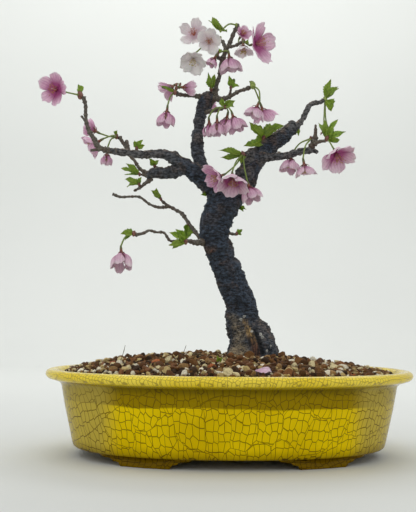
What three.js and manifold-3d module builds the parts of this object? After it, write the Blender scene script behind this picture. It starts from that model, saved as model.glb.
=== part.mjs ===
// Cherry blossom bonsai: an old Prunus trunk in flower, planted in an oval glazed tray.
// Millimetres, +Z up. The origin is on the ground under the middle of the tray, whose
// long side lies along X. The tree leans a little to its left and its top faces -Y.

import * as THREE from 'three';
import { mergeVertices } from 'three/addons/utils/BufferGeometryUtils.js';
import Module from 'manifold-3d';

const wasm = await Module();
wasm.setup();

// ---------------------------------------------------------------- driving dimensions

const SEAT_GAP = 0.3; // clearance between pieces that rest on or grow from each other
const FINEST = 0.05; // smaller steps than this are smoothed away after a cut

// Tray
const POT_SEGMENTS = 36;
const OVAL_POWER = 2.2; // superellipse exponent of every horizontal section
const RIM_HALF_LENGTH = 180;
const RIM_HALF_WIDTH = 134;
const RIM_TOP = 82.8;
const BODY_BOTTOM = 8.8; // height of the body's underside above the ground
const FLOOR_TOP = 16;
const DRAIN_SPACING = 75; // each drain hole's distance from the middle
const DRAIN_RADIUS = 12;

// Cloud feet: where each sole starts and ends along X, and how deep the feet run inwards
const SOLE_INNER = 58;
const SOLE_OUTER = 101;
const FOOT_DEPTH = 15;
const FOOT_INSET = 3;

// Drain mesh squares
const MESH_SIDE = 36;
const MESH_THICKNESS = 1.2;
const MESH_HOLES = 3; // holes along each side
const MESH_BAR = 3;

// Soil
const SOIL_EDGE = 79.5; // height where it meets the tray wall
const SOIL_RISE = 15; // how much higher the mound is at the trunk
const SOIL_SKEW = 0.0018; // the mound is fuller to the left, per mm
const GRANULE_RELIEF = 1.3;
const SOIL_RINGS = [0.93, 0.84, 0.72, 0.58, 0.42, 0.23]; // shares of the way to the wall

// The petal on the soil: its middle, its length and half its width
const FALLEN_PETAL = { x: 24, y: -98, length: 14, halfWidth: 6 };
const LEVEL_ROUND_PETAL = 14; // the soil has no relief this close to it

// Petals and leaves
const PETAL_THICKNESS = 0.7;
const LEAF_THICKNESS = 0.7;
const PETAL_WIDEST = 0.47; // a petal's half width is at most this share of its length,
const PETAL_GAP = 0.15; // or stays this far inside its fifth of the corolla
const PETAL_LIFT = 0.09; // its sides curl inwards by this share of its length
const LEAF_ROOT = 0.28; // how wide a leaf starts, as a share of its widest
const LEAF_FOLD = 0.16; // rise of a leaf's sides over its midrib, as a share of its width
const LARGE_LEAF = 8; // leaves this wide have two teeth a side, smaller ones have one

// Buds, stalks and the hearts of the blossoms
const BUD_GIRTH = 0.8; // a bud's own radius and half its height, as shares of the one given
const BUD_HALF = 0.6;
const CALYX_LENGTH = 6.5;
const CALYX_RADIUS = 1.7;
const STALK_RADIUS = 0.75;
const STALK_CURVE = 7; // a long stalk lines up with its calyx this far behind it
const HUB_RADIUS = 1.5;
const PETAL_ROOT = 0.9; // a petal's length is measured from this far out of the axis
const HUB_DEPTH = 1.2;
const PISTIL_RADIUS = 0.5;
const SPREAD = 0.52; // leaves and stalks start this share of the radius from a bud's middle
const STAMENS = 3;
const STAMEN_REACH = 0.45; // shares of the petal length
const STAMEN_LEAN = 0.2;
const PISTIL_REACH = 0.55;
const OPEN_ENOUGH = 55; // stamens show in blossoms that open at least this far

// ------------------------------------------------------------------------- materials

const MATERIALS = {
  glaze: { color: 0xc8ad05, roughness: 0.12, metalness: 0 },
  mesh: { color: 0x1d1f1e, roughness: 0.6, metalness: 0 },
  soil: { color: 0x6b4632, roughness: 0.95, metalness: 0 },
  bark: { color: 0x2a2625, roughness: 0.9, metalness: 0 },
  shoot: { color: 0x7d9a2e, roughness: 0.55, metalness: 0 },
  petal: { color: 0xe2b6cc, roughness: 0.5, metalness: 0 },
};

// --------------------------------------------------------------------- solid helpers

const { clamp } = THREE.MathUtils;

const vector = ([x, y, z]) => new THREE.Vector3(x, y, z);

// A repeatable value from -1 to 1 for a pair of whole numbers.
function jitter(i, j) {
  const wave = Math.sin(i * 127.1 + j * 311.7 + 17.3) * 43758.5453;
  return 2 * (wave - Math.floor(wave)) - 1;
}

function toSolid(geometry) {
  const bare = geometry.clone();
  bare.deleteAttribute('normal');
  bare.deleteAttribute('uv');
  const merged = mergeVertices(bare, 1e-4);
  return new wasm.Manifold(new wasm.Mesh({
    numProp: 3,
    vertProperties: new Float32Array(merged.attributes.position.array),
    triVerts: new Uint32Array(merged.index.array),
  }));
}

function toGeometry(solid) {
  const mesh = solid.getMesh();
  const geometry = new THREE.BufferGeometry();
  geometry.setAttribute('position', new THREE.BufferAttribute(mesh.vertProperties, 3));
  geometry.setIndex(new THREE.BufferAttribute(mesh.triVerts, 1));
  geometry.computeVertexNormals();
  return geometry;
}

const fuse = (solids) => solids.reduce((whole, piece) => whole.add(piece));

// Trimming can leave a loose scrap, so only the largest body is kept.
function largestBody(solid) {
  const bodies = solid.decompose();
  return bodies
    .reduce((best, body) => (body.volume() > best.volume() ? body : best))
    .simplify(FINEST);
}

function indexed(points, triangles) {
  const geometry = new THREE.BufferGeometry();
  geometry.setAttribute('position', new THREE.Float32BufferAttribute(points.flat(), 3));
  geometry.setIndex(triangles);
  return geometry;
}

// A closed skin through stacked rings of equal length, fanned shut to a point at each end.
function loft(rings, firstPoint, lastPoint) {
  const sides = rings[0].length;
  const points = [...rings.flat(), firstPoint, lastPoint];
  const first = points.length - 2;
  const last = points.length - 1;
  const triangles = [];
  for (let side = 0; side < sides; side += 1) {
    const next = (side + 1) % sides;
    triangles.push(first, next, side);
    for (let ring = 0; ring + 1 < rings.length; ring += 1) {
      const low = ring * sides;
      const high = low + sides;
      triangles.push(low + side, low + next, high + next);
      triangles.push(low + side, high + next, high + side);
    }
    const top = (rings.length - 1) * sides;
    triangles.push(last, top + side, top + next);
  }
  return indexed(points, triangles);
}

// A tapering, many-sided stem along a smooth line through [x, y, z, radius] points, with a
// ring at each point and as many between as asked. grow fattens it evenly, relief roughens
// it, dome rounds its two ends.
function stem(points, { sides = 5, between = 0, relief = 0, grow = 0, dome = 0.4 } = {}) {
  const curve = new THREE.CatmullRomCurve3(points.map(vector), false, 'centripetal');
  const count = (points.length - 1) * (between + 1);
  const radiusAt = (ring) => {
    const place = ring / (between + 1);
    const index = Math.min(Math.floor(place), points.length - 2);
    return THREE.MathUtils.lerp(points[index][3], points[index + 1][3], place - index);
  };
  const side = new THREE.Vector3(0.23, 0.91, 0.34);
  const rings = [];
  for (let ring = 0; ring <= count; ring += 1) {
    const centre = curve.getPoint(ring / count);
    const tangent = curve.getTangent(ring / count);
    side.addScaledVector(tangent, -side.dot(tangent)).normalize();
    const other = new THREE.Vector3().crossVectors(tangent, side);
    rings.push(Array.from({ length: sides }, (_, corner) => {
      const angle = (2 * Math.PI * corner) / sides;
      const reach = radiusAt(ring) * (1 + relief * jitter(ring, corner)) + grow;
      return centre.clone()
        .addScaledVector(side, Math.cos(angle) * reach)
        .addScaledVector(other, Math.sin(angle) * reach)
        .toArray();
    }));
  }
  const end = (ring, sign) => curve.getPoint(ring / count)
    .addScaledVector(curve.getTangent(ring / count), sign * (dome * radiusAt(ring) + grow))
    .toArray();
  return loft(rings, end(0, -1), end(count, 1));
}

// A three-sided spike from a point in its root to its tip.
function needle(root, tip, radius) {
  const along = tip.clone().sub(root).normalize();
  const side = new THREE.Vector3(0.6, 0.7, 0.2).cross(along).normalize();
  const other = new THREE.Vector3().crossVectors(along, side);
  const ring = [0, 1, 2].map((corner) => {
    const angle = (2 * Math.PI * corner) / 3;
    return root.clone()
      .addScaledVector(side, Math.cos(angle) * radius)
      .addScaledVector(other, Math.sin(angle) * radius)
      .toArray();
  });
  return loft([ring], root.clone().addScaledVector(along, -0.1).toArray(), tip.toArray());
}

// A thin blade: one fan of triangles from an inner point to the outline, given thickness.
function blade(outline, inner, normal, thickness) {
  const offset = normal.clone().multiplyScalar(-thickness);
  const front = [...outline, inner];
  const back = front.map((point) => point.clone().add(offset));
  const points = [...front, ...back].map((point) => point.toArray());
  const size = outline.length;
  const triangles = [];
  for (let i = 0; i < size; i += 1) {
    const next = (i + 1) % size;
    const under = size + 1;
    triangles.push(i, next, size);
    triangles.push(under + next, under + i, under + size);
    triangles.push(i, under + i, under + next);
    triangles.push(i, under + next, next);
  }
  return indexed(points, triangles);
}

// ------------------------------------------------------------------------------ tray

// One horizontal section of the tray, as a ring of points.
function ovalRing(halfLength, halfWidth, height) {
  const reach = (value) => Math.sign(value) * Math.abs(value) ** (2 / OVAL_POWER);
  return Array.from({ length: POT_SEGMENTS }, (_, i) => {
    const angle = (2 * Math.PI * i) / POT_SEGMENTS;
    return [halfLength * reach(Math.cos(angle)), halfWidth * reach(Math.sin(angle)), height];
  });
}

// Heights and how far each level lies inside the rim's nose, from the underside outwards,
// up the wall, round the rolled rim and down the inside.
const POT_OUTSIDE = [
  [31, BODY_BOTTOM], [27.6, 10.4], [26.4, 14],
  [18.6, 48], [15.6, 67],
  [12, 71], [5.5, 73.4], [1.6, 75],
  [0, 78.4], [1.5, 81.6], [5, RIM_TOP],
];
const POT_INSIDE = [[11.5, 82.2], [17, SOIL_EDGE], [33, 22], [41, FLOOR_TOP]];

const potRing = ([inset, height], extra = 0) => ovalRing(
  RIM_HALF_LENGTH - inset - extra,
  RIM_HALF_WIDTH - inset - extra,
  height,
);

// A cloud foot seen from the front, as [distance along, height] from its inner to its
// outer end: a long scroll and a step down to the sole, then a step and a shorter scroll.
const FOOT_OUTLINE = [
  [SOLE_INNER - 20, 7.4], [SOLE_INNER - 12, 6.6], [SOLE_INNER - 8, 4.4],
  [SOLE_INNER - 3, 3.4], [SOLE_INNER, 0], [SOLE_INNER + 19, 0], [SOLE_OUTER, 0],
  [SOLE_OUTER + 3, 3], [SOLE_OUTER + 8, 4], [SOLE_OUTER + 12, 6.8], [SOLE_OUTER + 20, 7.4],
];

function footShape() {
  const top = BODY_BOTTOM + 2;
  const shape = new THREE.Shape();
  shape.moveTo(FOOT_OUTLINE[0][0], top);
  FOOT_OUTLINE.forEach(([along, height]) => shape.lineTo(along, height));
  shape.lineTo(FOOT_OUTLINE[FOOT_OUTLINE.length - 1][0], top);
  shape.closePath();
  return shape;
}

// The foot's face follows the oval of the tray's lower edge.
function foot(signX, signY) {
  const geometry = new THREE.ExtrudeGeometry(footShape(), {
    depth: FOOT_DEPTH, bevelEnabled: false,
  });
  const edgeLength = RIM_HALF_LENGTH - POT_OUTSIDE[1][0];
  const edgeWidth = RIM_HALF_WIDTH - POT_OUTSIDE[1][0];
  const position = geometry.attributes.position;
  for (let i = 0; i < position.count; i += 1) {
    const along = position.getX(i);
    const share = 1 - (along / edgeLength) ** OVAL_POWER;
    const face = edgeWidth * share ** (1 / OVAL_POWER) - FOOT_INSET;
    const height = position.getY(i);
    position.setXYZ(i, signX * along, signY * (face - position.getZ(i)), height);
  }
  if (signX * signY > 0) return geometry;
  return flipped(geometry);
}

// The same surface with every triangle turned over.
function flipped(geometry) {
  const turned = geometry.index ? geometry.toNonIndexed() : geometry;
  const array = turned.attributes.position.array;
  for (let i = 0; i < array.length; i += 9) {
    for (let axis = 0; axis < 3; axis += 1) {
      [array[i + 3 + axis], array[i + 6 + axis]] = [array[i + 6 + axis], array[i + 3 + axis]];
    }
  }
  return turned;
}

function upright(radius, bottom, top, sides) {
  const cylinder = new THREE.CylinderGeometry(radius, radius, top - bottom, sides);
  cylinder.rotateX(Math.PI / 2);
  cylinder.translate(0, 0, (top + bottom) / 2);
  return cylinder;
}

function buildPot() {
  const rings = [...POT_OUTSIDE, ...POT_INSIDE].map((level) => potRing(level));
  const body = toSolid(loft(rings, [0, 0, BODY_BOTTOM], [0, 0, FLOOR_TOP]));
  const feet = [[1, 1], [1, -1], [-1, 1], [-1, -1]].map(([x, y]) => toSolid(foot(x, y)));
  const drains = [-1, 1].map((side) => {
    const hole = upright(DRAIN_RADIUS, 0, FLOOR_TOP + 5, 20);
    hole.translate(side * DRAIN_SPACING, 0, 0);
    return toSolid(hole);
  });
  return drains.reduce((pot, drain) => pot.subtract(drain), fuse([body, ...feet]));
}

// ------------------------------------------------------------------------ drain mesh

function drainBox(side, x, y, width, depth, grow) {
  const height = MESH_THICKNESS + 2 * grow;
  const box = new THREE.BoxGeometry(width + 2 * grow, depth + 2 * grow, height);
  box.translate(side * DRAIN_SPACING + x, y, FLOOR_TOP + SEAT_GAP + MESH_THICKNESS / 2);
  return toSolid(box);
}

// A square sheet with square holes.
function drainMesh(side) {
  const pitch = (MESH_SIDE - MESH_BAR) / MESH_HOLES;
  const hole = pitch - MESH_BAR;
  let sheet = drainBox(side, 0, 0, MESH_SIDE, MESH_SIDE, 0);
  for (let column = 0; column < MESH_HOLES; column += 1) {
    for (let row = 0; row < MESH_HOLES; row += 1) {
      const x = (column - (MESH_HOLES - 1) / 2) * pitch;
      const y = (row - (MESH_HOLES - 1) / 2) * pitch;
      sheet = sheet.subtract(drainBox(side, x, y, hole - 2, hole - 2, 1));
    }
  }
  return sheet;
}

// The room that the square takes up in the soil.
function drainMeshClear(side) {
  return drainBox(side, 0, 0, MESH_SIDE, MESH_SIDE, SEAT_GAP);
}

// ------------------------------------------------------------------------------ soil

function soilHeight(x, y, share) {
  const mound = SOIL_RISE * (1 - share ** OVAL_POWER) * (1 - SOIL_SKEW * x);
  return SOIL_EDGE + mound;
}

// Granules show as relief, left out round the fallen petal so that it lies level.
function soilRelief(x, y, ring, segment) {
  const away = Math.hypot(x - FALLEN_PETAL.x, y - FALLEN_PETAL.y);
  return away < LEVEL_ROUND_PETAL ? 0 : GRANULE_RELIEF * jitter(ring + 40, segment);
}

function buildSoil(cutters) {
  const sides = POT_INSIDE.slice(1).reverse();
  const rings = sides.map(([inset, height]) => (
    potRing([inset, Math.max(height, FLOOR_TOP + SEAT_GAP)], SEAT_GAP)
  ));
  const [edgeInset] = sides[sides.length - 1];
  const length = RIM_HALF_LENGTH - edgeInset;
  const width = RIM_HALF_WIDTH - edgeInset;
  SOIL_RINGS.forEach((share, ring) => {
    rings.push(ovalRing(length * share, width * share, 0).map(([x, y], segment) => {
      const relief = soilRelief(x, y, ring, segment);
      return [x, y, soilHeight(x, y, share) + relief];
    }));
  });
  const base = [0, 0, FLOOR_TOP + SEAT_GAP];
  const bed = toSolid(loft(rings, base, [0, 0, soilHeight(0, 0, 0)]));
  return largestBody(cutters.reduce((soil, cutter) => soil.subtract(cutter), bed));
}

// ------------------------------------------------------------------------------ wood

// Every limb runs through hand-placed points [x, y, z, radius], thickest end first.
const TRUNK = [
  [22, 6, 58, 22], [23, 6, 80, 27], [24, 6, 99, 25.5], [23, 6, 107, 24.5],
  [20, 6, 116, 22], [15, 6, 126, 18], [12, 5, 136, 16], [11, 4, 146, 14.6],
  [9, 3, 154, 15.4], [5, 2, 162, 15], [1, 1, 172, 14.3], [-3, 0, 182, 14.7],
  [-8, -1, 190, 13], [-10, -3, 199, 13.4], [-15, -5, 213, 14.3], [-16, -6, 226, 15.3],
  [-11, -6, 239, 16.3], [-7, -5, 251, 17.5], [-5, -4, 262, 14],
];
const BRANCHES = [
  // left branch, coming forwards
  [[-9, -4, 252, 12], [-18, -5, 265, 11], [-29, -6, 273, 10.2], [-41, -9, 282, 8.5],
    [-51, -12, 287, 7.2], [-61, -15, 293, 5.5], [-71, -18, 295, 4.5], [-86, -24, 293, 4],
    [-100, -30, 293, 3.6], [-114, -36, 293, 3.3], [-120, -38, 293, 2.6]],
  // right branch, going back
  [[-4, -2, 250, 14], [8, 0, 263, 12.5], [17, 3, 277, 11.5], [22, 6, 289, 10.5],
    [29, 9, 300, 10], [37, 12, 308, 9.6], [46, 15, 316, 8.9], [57, 19, 324, 8],
    [65, 22, 332, 6.6], [72, 26, 336, 4.2]],
  // leader, ending in an old pruned knob
  [[-14, -4, 256, 11], [-26, -3, 279, 8], [-32, -1, 294, 6.2], [-34, 0, 303, 6.7],
    [-34, 1, 313, 6], [-33, 3, 323, 5.8], [-32, 4, 334, 5.8], [-30, 5, 345, 6.6],
    [-27, 5, 352, 8.4], [-25, 5, 359, 8], [-24, 5, 365, 4]],
];
const TWIGS = [
  // left branch: rising tip, cut stub at the bend, side twig, knob
  [[-112, -35, 293, 3.2], [-125, -40, 294, 3], [-131, -42, 297, 2.7], [-134, -44, 303, 2.5],
    [-138, -46, 309, 2.3], [-141, -48, 317, 2], [-142, -50, 326, 1.9], [-142, -52, 334, 1.8],
    [-144, -54, 341, 2.4]],
  [[-127, -41, 294, 2], [-137, -44, 292, 1.5]],
  [[-140, -48, 316, 1.6], [-146, -50, 324, 1]],
  [[-53, -13, 290, 4], [-58, -15, 298, 3]],
  // lower left branch and its three ends
  [[-44, -11, 284, 7], [-59, -8, 279, 6.3], [-68, -4, 278, 6], [-77, 0, 279, 5.6],
    [-84, 3, 276, 4]],
  [[-80, 2, 277, 3], [-92, 7, 284, 1.9], [-98, 9, 293, 1.9], [-104, 11, 300, 1.7],
    [-109, 13, 310, 1.8], [-114, 13, 318, 2.3]],
  [[-102, 10, 297, 1.5], [-107, 16, 315, 2]],
  [[-81, 2, 275, 2], [-90, -1, 277, 1.7]],
  [[-80, 2, 273, 2.6], [-86, -2, 268, 2], [-91, -5, 263, 1.6], [-97, -8, 259, 1.2]],
  // thin middle left branch and its fork
  [[-24, -4, 210, 4], [-31, 3, 215, 2.4], [-37, 10, 223, 2.2], [-43, 17, 232, 2],
    [-49, 23, 241, 2.1], [-55, 28, 245, 1.9], [-62, 32, 249, 1.9], [-73, 38, 249, 1.6],
    [-83, 43, 253, 1.5], [-94, 47, 261, 1.5], [-104, 51, 262, 1.4], [-115, 54, 262, 1.5],
    [-123, 55, 265, 1.7]],
  [[-61, 31, 248, 1.8], [-70, 31, 255, 1.6]],
  // thin low left branch
  [[-24, -7, 209, 4], [-35, -16, 207, 2.6], [-42, -22, 208, 2.2], [-50, -28, 207, 1.5],
    [-60, -34, 207, 1.4], [-66, -39, 214, 1.4], [-73, -43, 214, 1.3], [-80, -48, 215, 1.3],
    [-85, -52, 212, 1.5], [-92, -56, 210, 2]],
  // stub on the trunk's right
  [[-6, -7, 220, 2.2], [0, -11, 217, 1.6], [5, -13, 216, 1.5]],
  // leader: left spur and its tip
  [[-27, 4, 359, 3.5], [-38, 0, 359, 2], [-48, -6, 358, 1.9], [-55, -10, 358, 2.4]],
  [[-54, -9, 358, 2], [-62, -15, 362, 1.7], [-70, -20, 362, 1.5]],
  // leader: tall top twig with its spurs
  [[-22, 4, 352, 5], [-16, 4, 365, 3.4], [-15, 3, 372, 2.6], [-12, 1, 380, 2.3],
    [-11, -1, 388, 2.5], [-9, -3, 397, 2.8], [-6, -5, 405, 2.4], [-2, -7, 413, 2.3],
    [2, -9, 423, 2.2], [6, -11, 431, 2.3]],
  [[-9, -3, 395, 2], [-15, -8, 398, 2]],
  [[-6, -5, 406, 1.8], [-9, 0, 417, 2]],
  [[-4, -6, 409, 2], [3, -10, 409, 1.6], [9, -14, 411, 1.8]],
  // leader: right twig and its upright side twig
  [[-24, 4, 357, 4.5], [-13, -2, 356, 3.2], [-7, -7, 355, 2.6], [0, -12, 357, 2.2],
    [7, -17, 360, 2], [13, -21, 361, 1.9], [17, -24, 362, 2.4]],
  [[-2, -11, 356, 1.6], [-1, -12, 363, 1.3]],
  // leader: lower right twig, and the stalk of the blossom behind it
  [[-28, 3, 343, 3], [-19, -7, 342, 2.1], [-12, -14, 342, 1.8], [-7, -19, 343, 1.8]],
  [[-27, 8, 353, 1.5], [-26, 19, 359, 1.2], [-24, 26, 359, CALYX_RADIUS]],
  // right branch: thin tip, cut stub at the crotch and bud knob
  [[66, 22, 333, 4.5], [73, 26, 338, 3.2], [78, 30, 345, 2.9], [82, 33, 352, 2.9],
    [86, 36, 360, 2.8], [90, 39, 364, 2.8], [98, 43, 366, 2.4], [103, 47, 369, 2.4]],
  [[18, 2, 280, 6], [7, -10, 279, 5]],
  [[23, 5, 304, 4], [14, -10, 297, 2.8]],
  // lower right branch and its two ends
  [[27, 6, 297, 7.5], [35, -2, 296, 5], [43, -8, 296, 4.2], [55, -15, 296, 3.7],
    [66, -21, 298, 3.5], [76, -26, 299, 3.5], [85, -29, 297, 1.8]],
  [[76, -26, 299, 3], [81, -28, 308, 3.8], [82, -29, 315, 2], [82, -30, 324, 1.3]],
  [[80, -28, 305, 3], [86, -32, 307, 1.8], [91, -35, 307, 1.9]],
  // old wound on the right branch's shoulder
  [[60, 18, 327, 5], [67, 21, 339, 3.6]],
];
const ROOTS = [
  [[24, 6, 110, 13], [36, 6, 98, 9], [50, 4, 84, 6], [66, 2, 72, 3]],
  [[17, 4, 108, 12], [4, -6, 94, 8], [-10, -14, 82, 5], [-26, -20, 72, 3]],
  [[18, 8, 104, 12], [8, 22, 88, 8], [-6, 36, 74, 4]],
];

// The whole wood; grow fattens it evenly, to cut its neighbours back to a clear seat.
function buildWood(grow = 0) {
  const limbs = [
    stem(TRUNK, { sides: 12, relief: 0.055, grow }),
    ...BRANCHES.map((points) => stem(points, { sides: 8, relief: 0.07, grow })),
    ...TWIGS.map((points) => stem(points, { sides: 5, relief: 0.06, grow })),
    ...ROOTS.map((points) => stem(points, { sides: 6, relief: 0.06, grow })),
  ];
  return fuse(limbs.map(toSolid)).simplify(FINEST);
}

// -------------------------------------------------------------------- young shoots

// Each shoot is a bud on the wood with its leaves (tip, width) and its flower stalks.
// A blossom has its place, the way it faces, how far its petals open in degrees from
// that line, their length, and the points its stalk runs through on the way.
const SHOOTS = {
  left_tip: {
    bud: [-147, -54, 343, 3],
    leaves: [[[-149, -52, 355], 5]],
    blossoms: [
      { at: [-165, -78, 341], facing: [-0.45, -0.88, -0.1], open: 64, petal: 15 },
    ],
  },
  left_spur: {
    bud: [-117, 11, 318, 2.6],
    leaves: [[[-116, 8, 324], 4]],
    blossoms: [
      { at: [-137, -4, 320], facing: [-0.75, 0.35, 0.45], open: 44, petal: 13 },
      { at: [-133, -14, 307], facing: [-0.85, -0.05, -0.55], open: 54, petal: 17 },
      { at: [-126, 8, 299], facing: [-0.05, 0.1, -1], open: 34, petal: 12 },
    ],
  },
  left_upper: {
    bud: [-94, -27, 298, 2.2],
    leaves: [[[-96, -28, 306], 4.5], [[-88, -24, 308], 4], [[-86, -30, 301], 4]],
  },
  left_crotch: {
    bud: [-77, 1, 286, 2],
    leaves: [[[-82, -4, 293], 5], [[-73, 4, 293], 5]],
  },
  left_low_upper: {
    bud: [-92, -2, 277, 2],
    leaves: [[[-105, -6, 288], 5], [[-111, 0, 284], 5], [[-108, 6, 278], 5]],
  },
  left_low_lower: {
    bud: [-92, -6, 266, 2],
    leaves: [[[-106, -10, 271], 6], [[-105, -2, 265], 6], [[-90, -9, 273], 4]],
  },
  mid_left_fork: {
    bud: [-71, 31, 257, 2],
    leaves: [[[-81, 28, 266], 5], [[-76, 34, 269], 5]],
  },
  mid_left_leaf: {
    bud: [-42, 15, 229, 1.8],
    leaves: [[[-44, 12, 213], 10]],
  },
  low_left_base: {
    bud: [-45, -27.4, 206.6, 2.6],
    leaves: [[[-61, -33, 215], 6], [[-55, -29, 219], 6], [[-61, -37, 203], 6],
      [[-58, -29, 200], 6]],
  },
  low_left_tip: {
    bud: [-94, -57, 211, 2.6],
    leaves: [[[-106, -62, 210], 5], [[-103, -54, 205], 5], [[-102, -52, 214], 5]],
    blossoms: [
      { at: [-105, -62, 193], facing: [0.1, -0.35, -0.9], open: 34, petal: 18 },
    ],
  },
  trunk_stub: {
    bud: [6, -13, 217, 2],
    leaves: [[[11, -16, 221], 4], [[11, -12, 216], 3]],
  },
  leader_left: {
    bud: [-57.5, -14, 358.5, 2.6],
    leaves: [[[-72, -27, 362], 4]],
    blossoms: [
      { at: [-60.5, 3, 369], facing: [-0.7, 0.45, -0.35], open: 54, petal: 14 },
      { at: [-49, -13, 364], facing: [0.9, 0.3, 0], open: 36, petal: 12 },
      { at: [-65, -15, 339], facing: [-0.1, 0, -1], open: 36, petal: 17 },
    ],
  },
  leader_crown: {
    bud: [-20.4, 0.8, 366.6, 2.4],
    leaves: [[[-24, -4, 383], 5], [[-17, -2, 382], 5], [[-19, -8, 374], 4]],
  },
  leader_right: {
    bud: [-1, -12, 365, 2],
    leaves: [[[-3, -14, 377], 5], [[2, -8, 376], 5], [[7, -16, 366], 5]],
  },
  leader_right_tip: {
    bud: [20, -26, 364, 3],
    leaves: [[[17, -24, 369], 3]],
    blossoms: [
      { at: [23.5, -36, 340], facing: [-0.4, 0.05, -0.9], open: 50, petal: 14 },
      { at: [30.5, -15, 343], facing: [0.35, 0.35, -0.87], open: 52, petal: 17 },
    ],
  },
  leader_low_right: {
    bud: [-7, -20, 343, 2.4],
    leaves: [[[-11, -24, 351], 5], [[-1, -15, 352], 5], [[3, -22, 349], 5],
      [[1, -27, 342], 5]],
    blossoms: [
      { at: [-22.5, -12, 328], facing: [0.1, 0.15, -1], open: 26, petal: 14 },
      { at: [-15, -23, 327], facing: [0.05, 0.05, -1], open: 36, petal: 14 },
      { at: [-4.5, -9, 335], facing: [-0.2, 0.5, -1], open: 38, petal: 12 },
      { at: [0.5, -28, 331], facing: [0.3, -0.05, -1], open: 44, petal: 17 },
    ],
  },
  top_lower: {
    bud: [-15, -9, 401, 3],
    leaves: [[[-10, -10, 405], 5]],
    blossoms: [
      { at: [-18, -14, 394], facing: [-0.5, -0.2, -0.9], open: 40, petal: 10 },
      { at: [-3, -14, 396], facing: [0.15, 0.1, -1], open: 46, petal: 17 },
    ],
  },
  top_left: {
    bud: [-12, 0, 419, 2.8],
    leaves: [[[-20, 2, 417], 3]],
    blossoms: [
      { at: [-38, 0, 423], facing: [-0.2, -0.95, 0.1], open: 72, petal: 16 },
      { at: [-24, -19, 410], facing: [0.1, -0.95, -0.3], open: 70, petal: 14 },
      { at: [-39, -14, 394], facing: [-0.1, -0.6, -0.85], open: 62, petal: 17 },
    ],
  },
  top_right: {
    bud: [11, -16, 412, 2.6],
    leaves: [[[17, -18, 409], 4]],
    blossoms: [
      { at: [10.5, 2, 424], facing: [0.35, -0.75, 0.35], open: 62, petal: 11 },
      { at: [10.5, -24, 404], facing: [0, -0.15, -1], open: 58, petal: 13 },
      { at: [22, -22, 407], facing: [0.8, -0.6, 0.02], open: 64, petal: 19 },
    ],
  },
  top_tip: {
    bud: [4, -12, 430, 1.8],
    stalk: [[-3, -14, 430], [-12, -16, 422]],
    leaves: [[[-20, -18, 436], 7], [[-24, -13, 434], 5], [[-13, -20, 426], 4],
      [[-5, -12, 423], 5]],
  },
  right_upper: {
    bud: [34.6, 9.2, 318.2, 3],
    leaves: [[[20, 2, 334], 8], [[42, 13, 336], 9], [[54, 4, 332], 9], [[14, 0, 309], 9]],
  },
  right_inner: {
    bud: [11.6, -12.4, 297, 3],
    leaves: [[[-13, -20, 300], 6], [[-11, -9, 295], 6], [[9, -16, 287], 5]],
    blossoms: [
      { at: [-11.5, -27, 272], facing: [-0.85, -0.4, -0.45], open: 58, petal: 18 },
      { at: [-0.5, -40, 269.5], facing: [0, -0.5, -0.85], open: 54, petal: 21 },
      { at: [17, -25, 262], facing: [0.3, -0.15, -0.95], open: 42, petal: 18 },
    ],
  },
  right_tip: {
    bud: [105, 48, 371, 3],
    leaves: [[[111, 45, 393], 6], [[118, 42, 384], 6], [[121, 52, 385], 6],
      [[112, 48, 358], 9]],
    spent: [[[103, 44, 345], [103, 43, 333]], [[106, 50, 351], [109, 51, 337]]],
  },
  right_low_tip: {
    bud: [92, -36, 309, 2.8],
    leaves: [[[103, -39, 328], 6], [[98, -30, 326], 6], [[109, -42, 316], 6],
      [[106, -33, 309], 6], [[86, -26, 328], 5], [[90, -34, 329], 5]],
    blossoms: [
      { at: [99, -46, 293], facing: [0.25, -0.55, -0.8], open: 62, petal: 19 },
    ],
  },
  right_low: {
    bud: [78, -27, 311, 2.2],
    blossoms: [
      { at: [60, -14, 292.5], facing: [-0.15, -0.15, -1], open: 48, petal: 17 },
      { at: [69.5, -38, 282.5], facing: [0.2, 0.1, -1], open: 54, petal: 15 },
    ],
  },
};

// The blossom behind the leader's knob grows from the wood itself.
const REAR_BLOSSOM = { at: [-24, 26.5, 359], facing: [0.1, 0.9, -0.3], open: 72, petal: 13 };

const unit = (values) => vector(values).normalize();

// Leaf blade from the bud to its tip, folded up along the midrib.
function leaf(bud, tip, width, start, index) {
  const base = vector(bud);
  const along = vector(tip).sub(base);
  const length = along.length();
  along.normalize();
  const lookout = new THREE.Vector3(0.5 * jitter(index, 3), -1, 0.4 + 0.4 * jitter(index, 5));
  const across = new THREE.Vector3().crossVectors(along, lookout).normalize();
  const normal = new THREE.Vector3().crossVectors(across, along).normalize();
  const point = (share, reach) => base.clone()
    .addScaledVector(along, share * length)
    .addScaledVector(across, (reach * width) / 2)
    .addScaledVector(normal, Math.abs(reach) * width * LEAF_FOLD);
  const teeth = width >= LARGE_LEAF ? [[0.4, 1], [0.46, 0.8], [0.68, 0.9], [0.74, 0.6]]
    : [[0.5, 1], [0.6, 0.66]];
  const edge = [[start / length, LEAF_ROOT], ...teeth];
  const right = edge.map(([share, reach]) => point(share, reach));
  const left = edge.map(([share, reach]) => point(share, -reach)).reverse();
  return blade([...right, point(1, 0), ...left], point(0.55, 0), normal, LEAF_THICKNESS);
}

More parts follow.
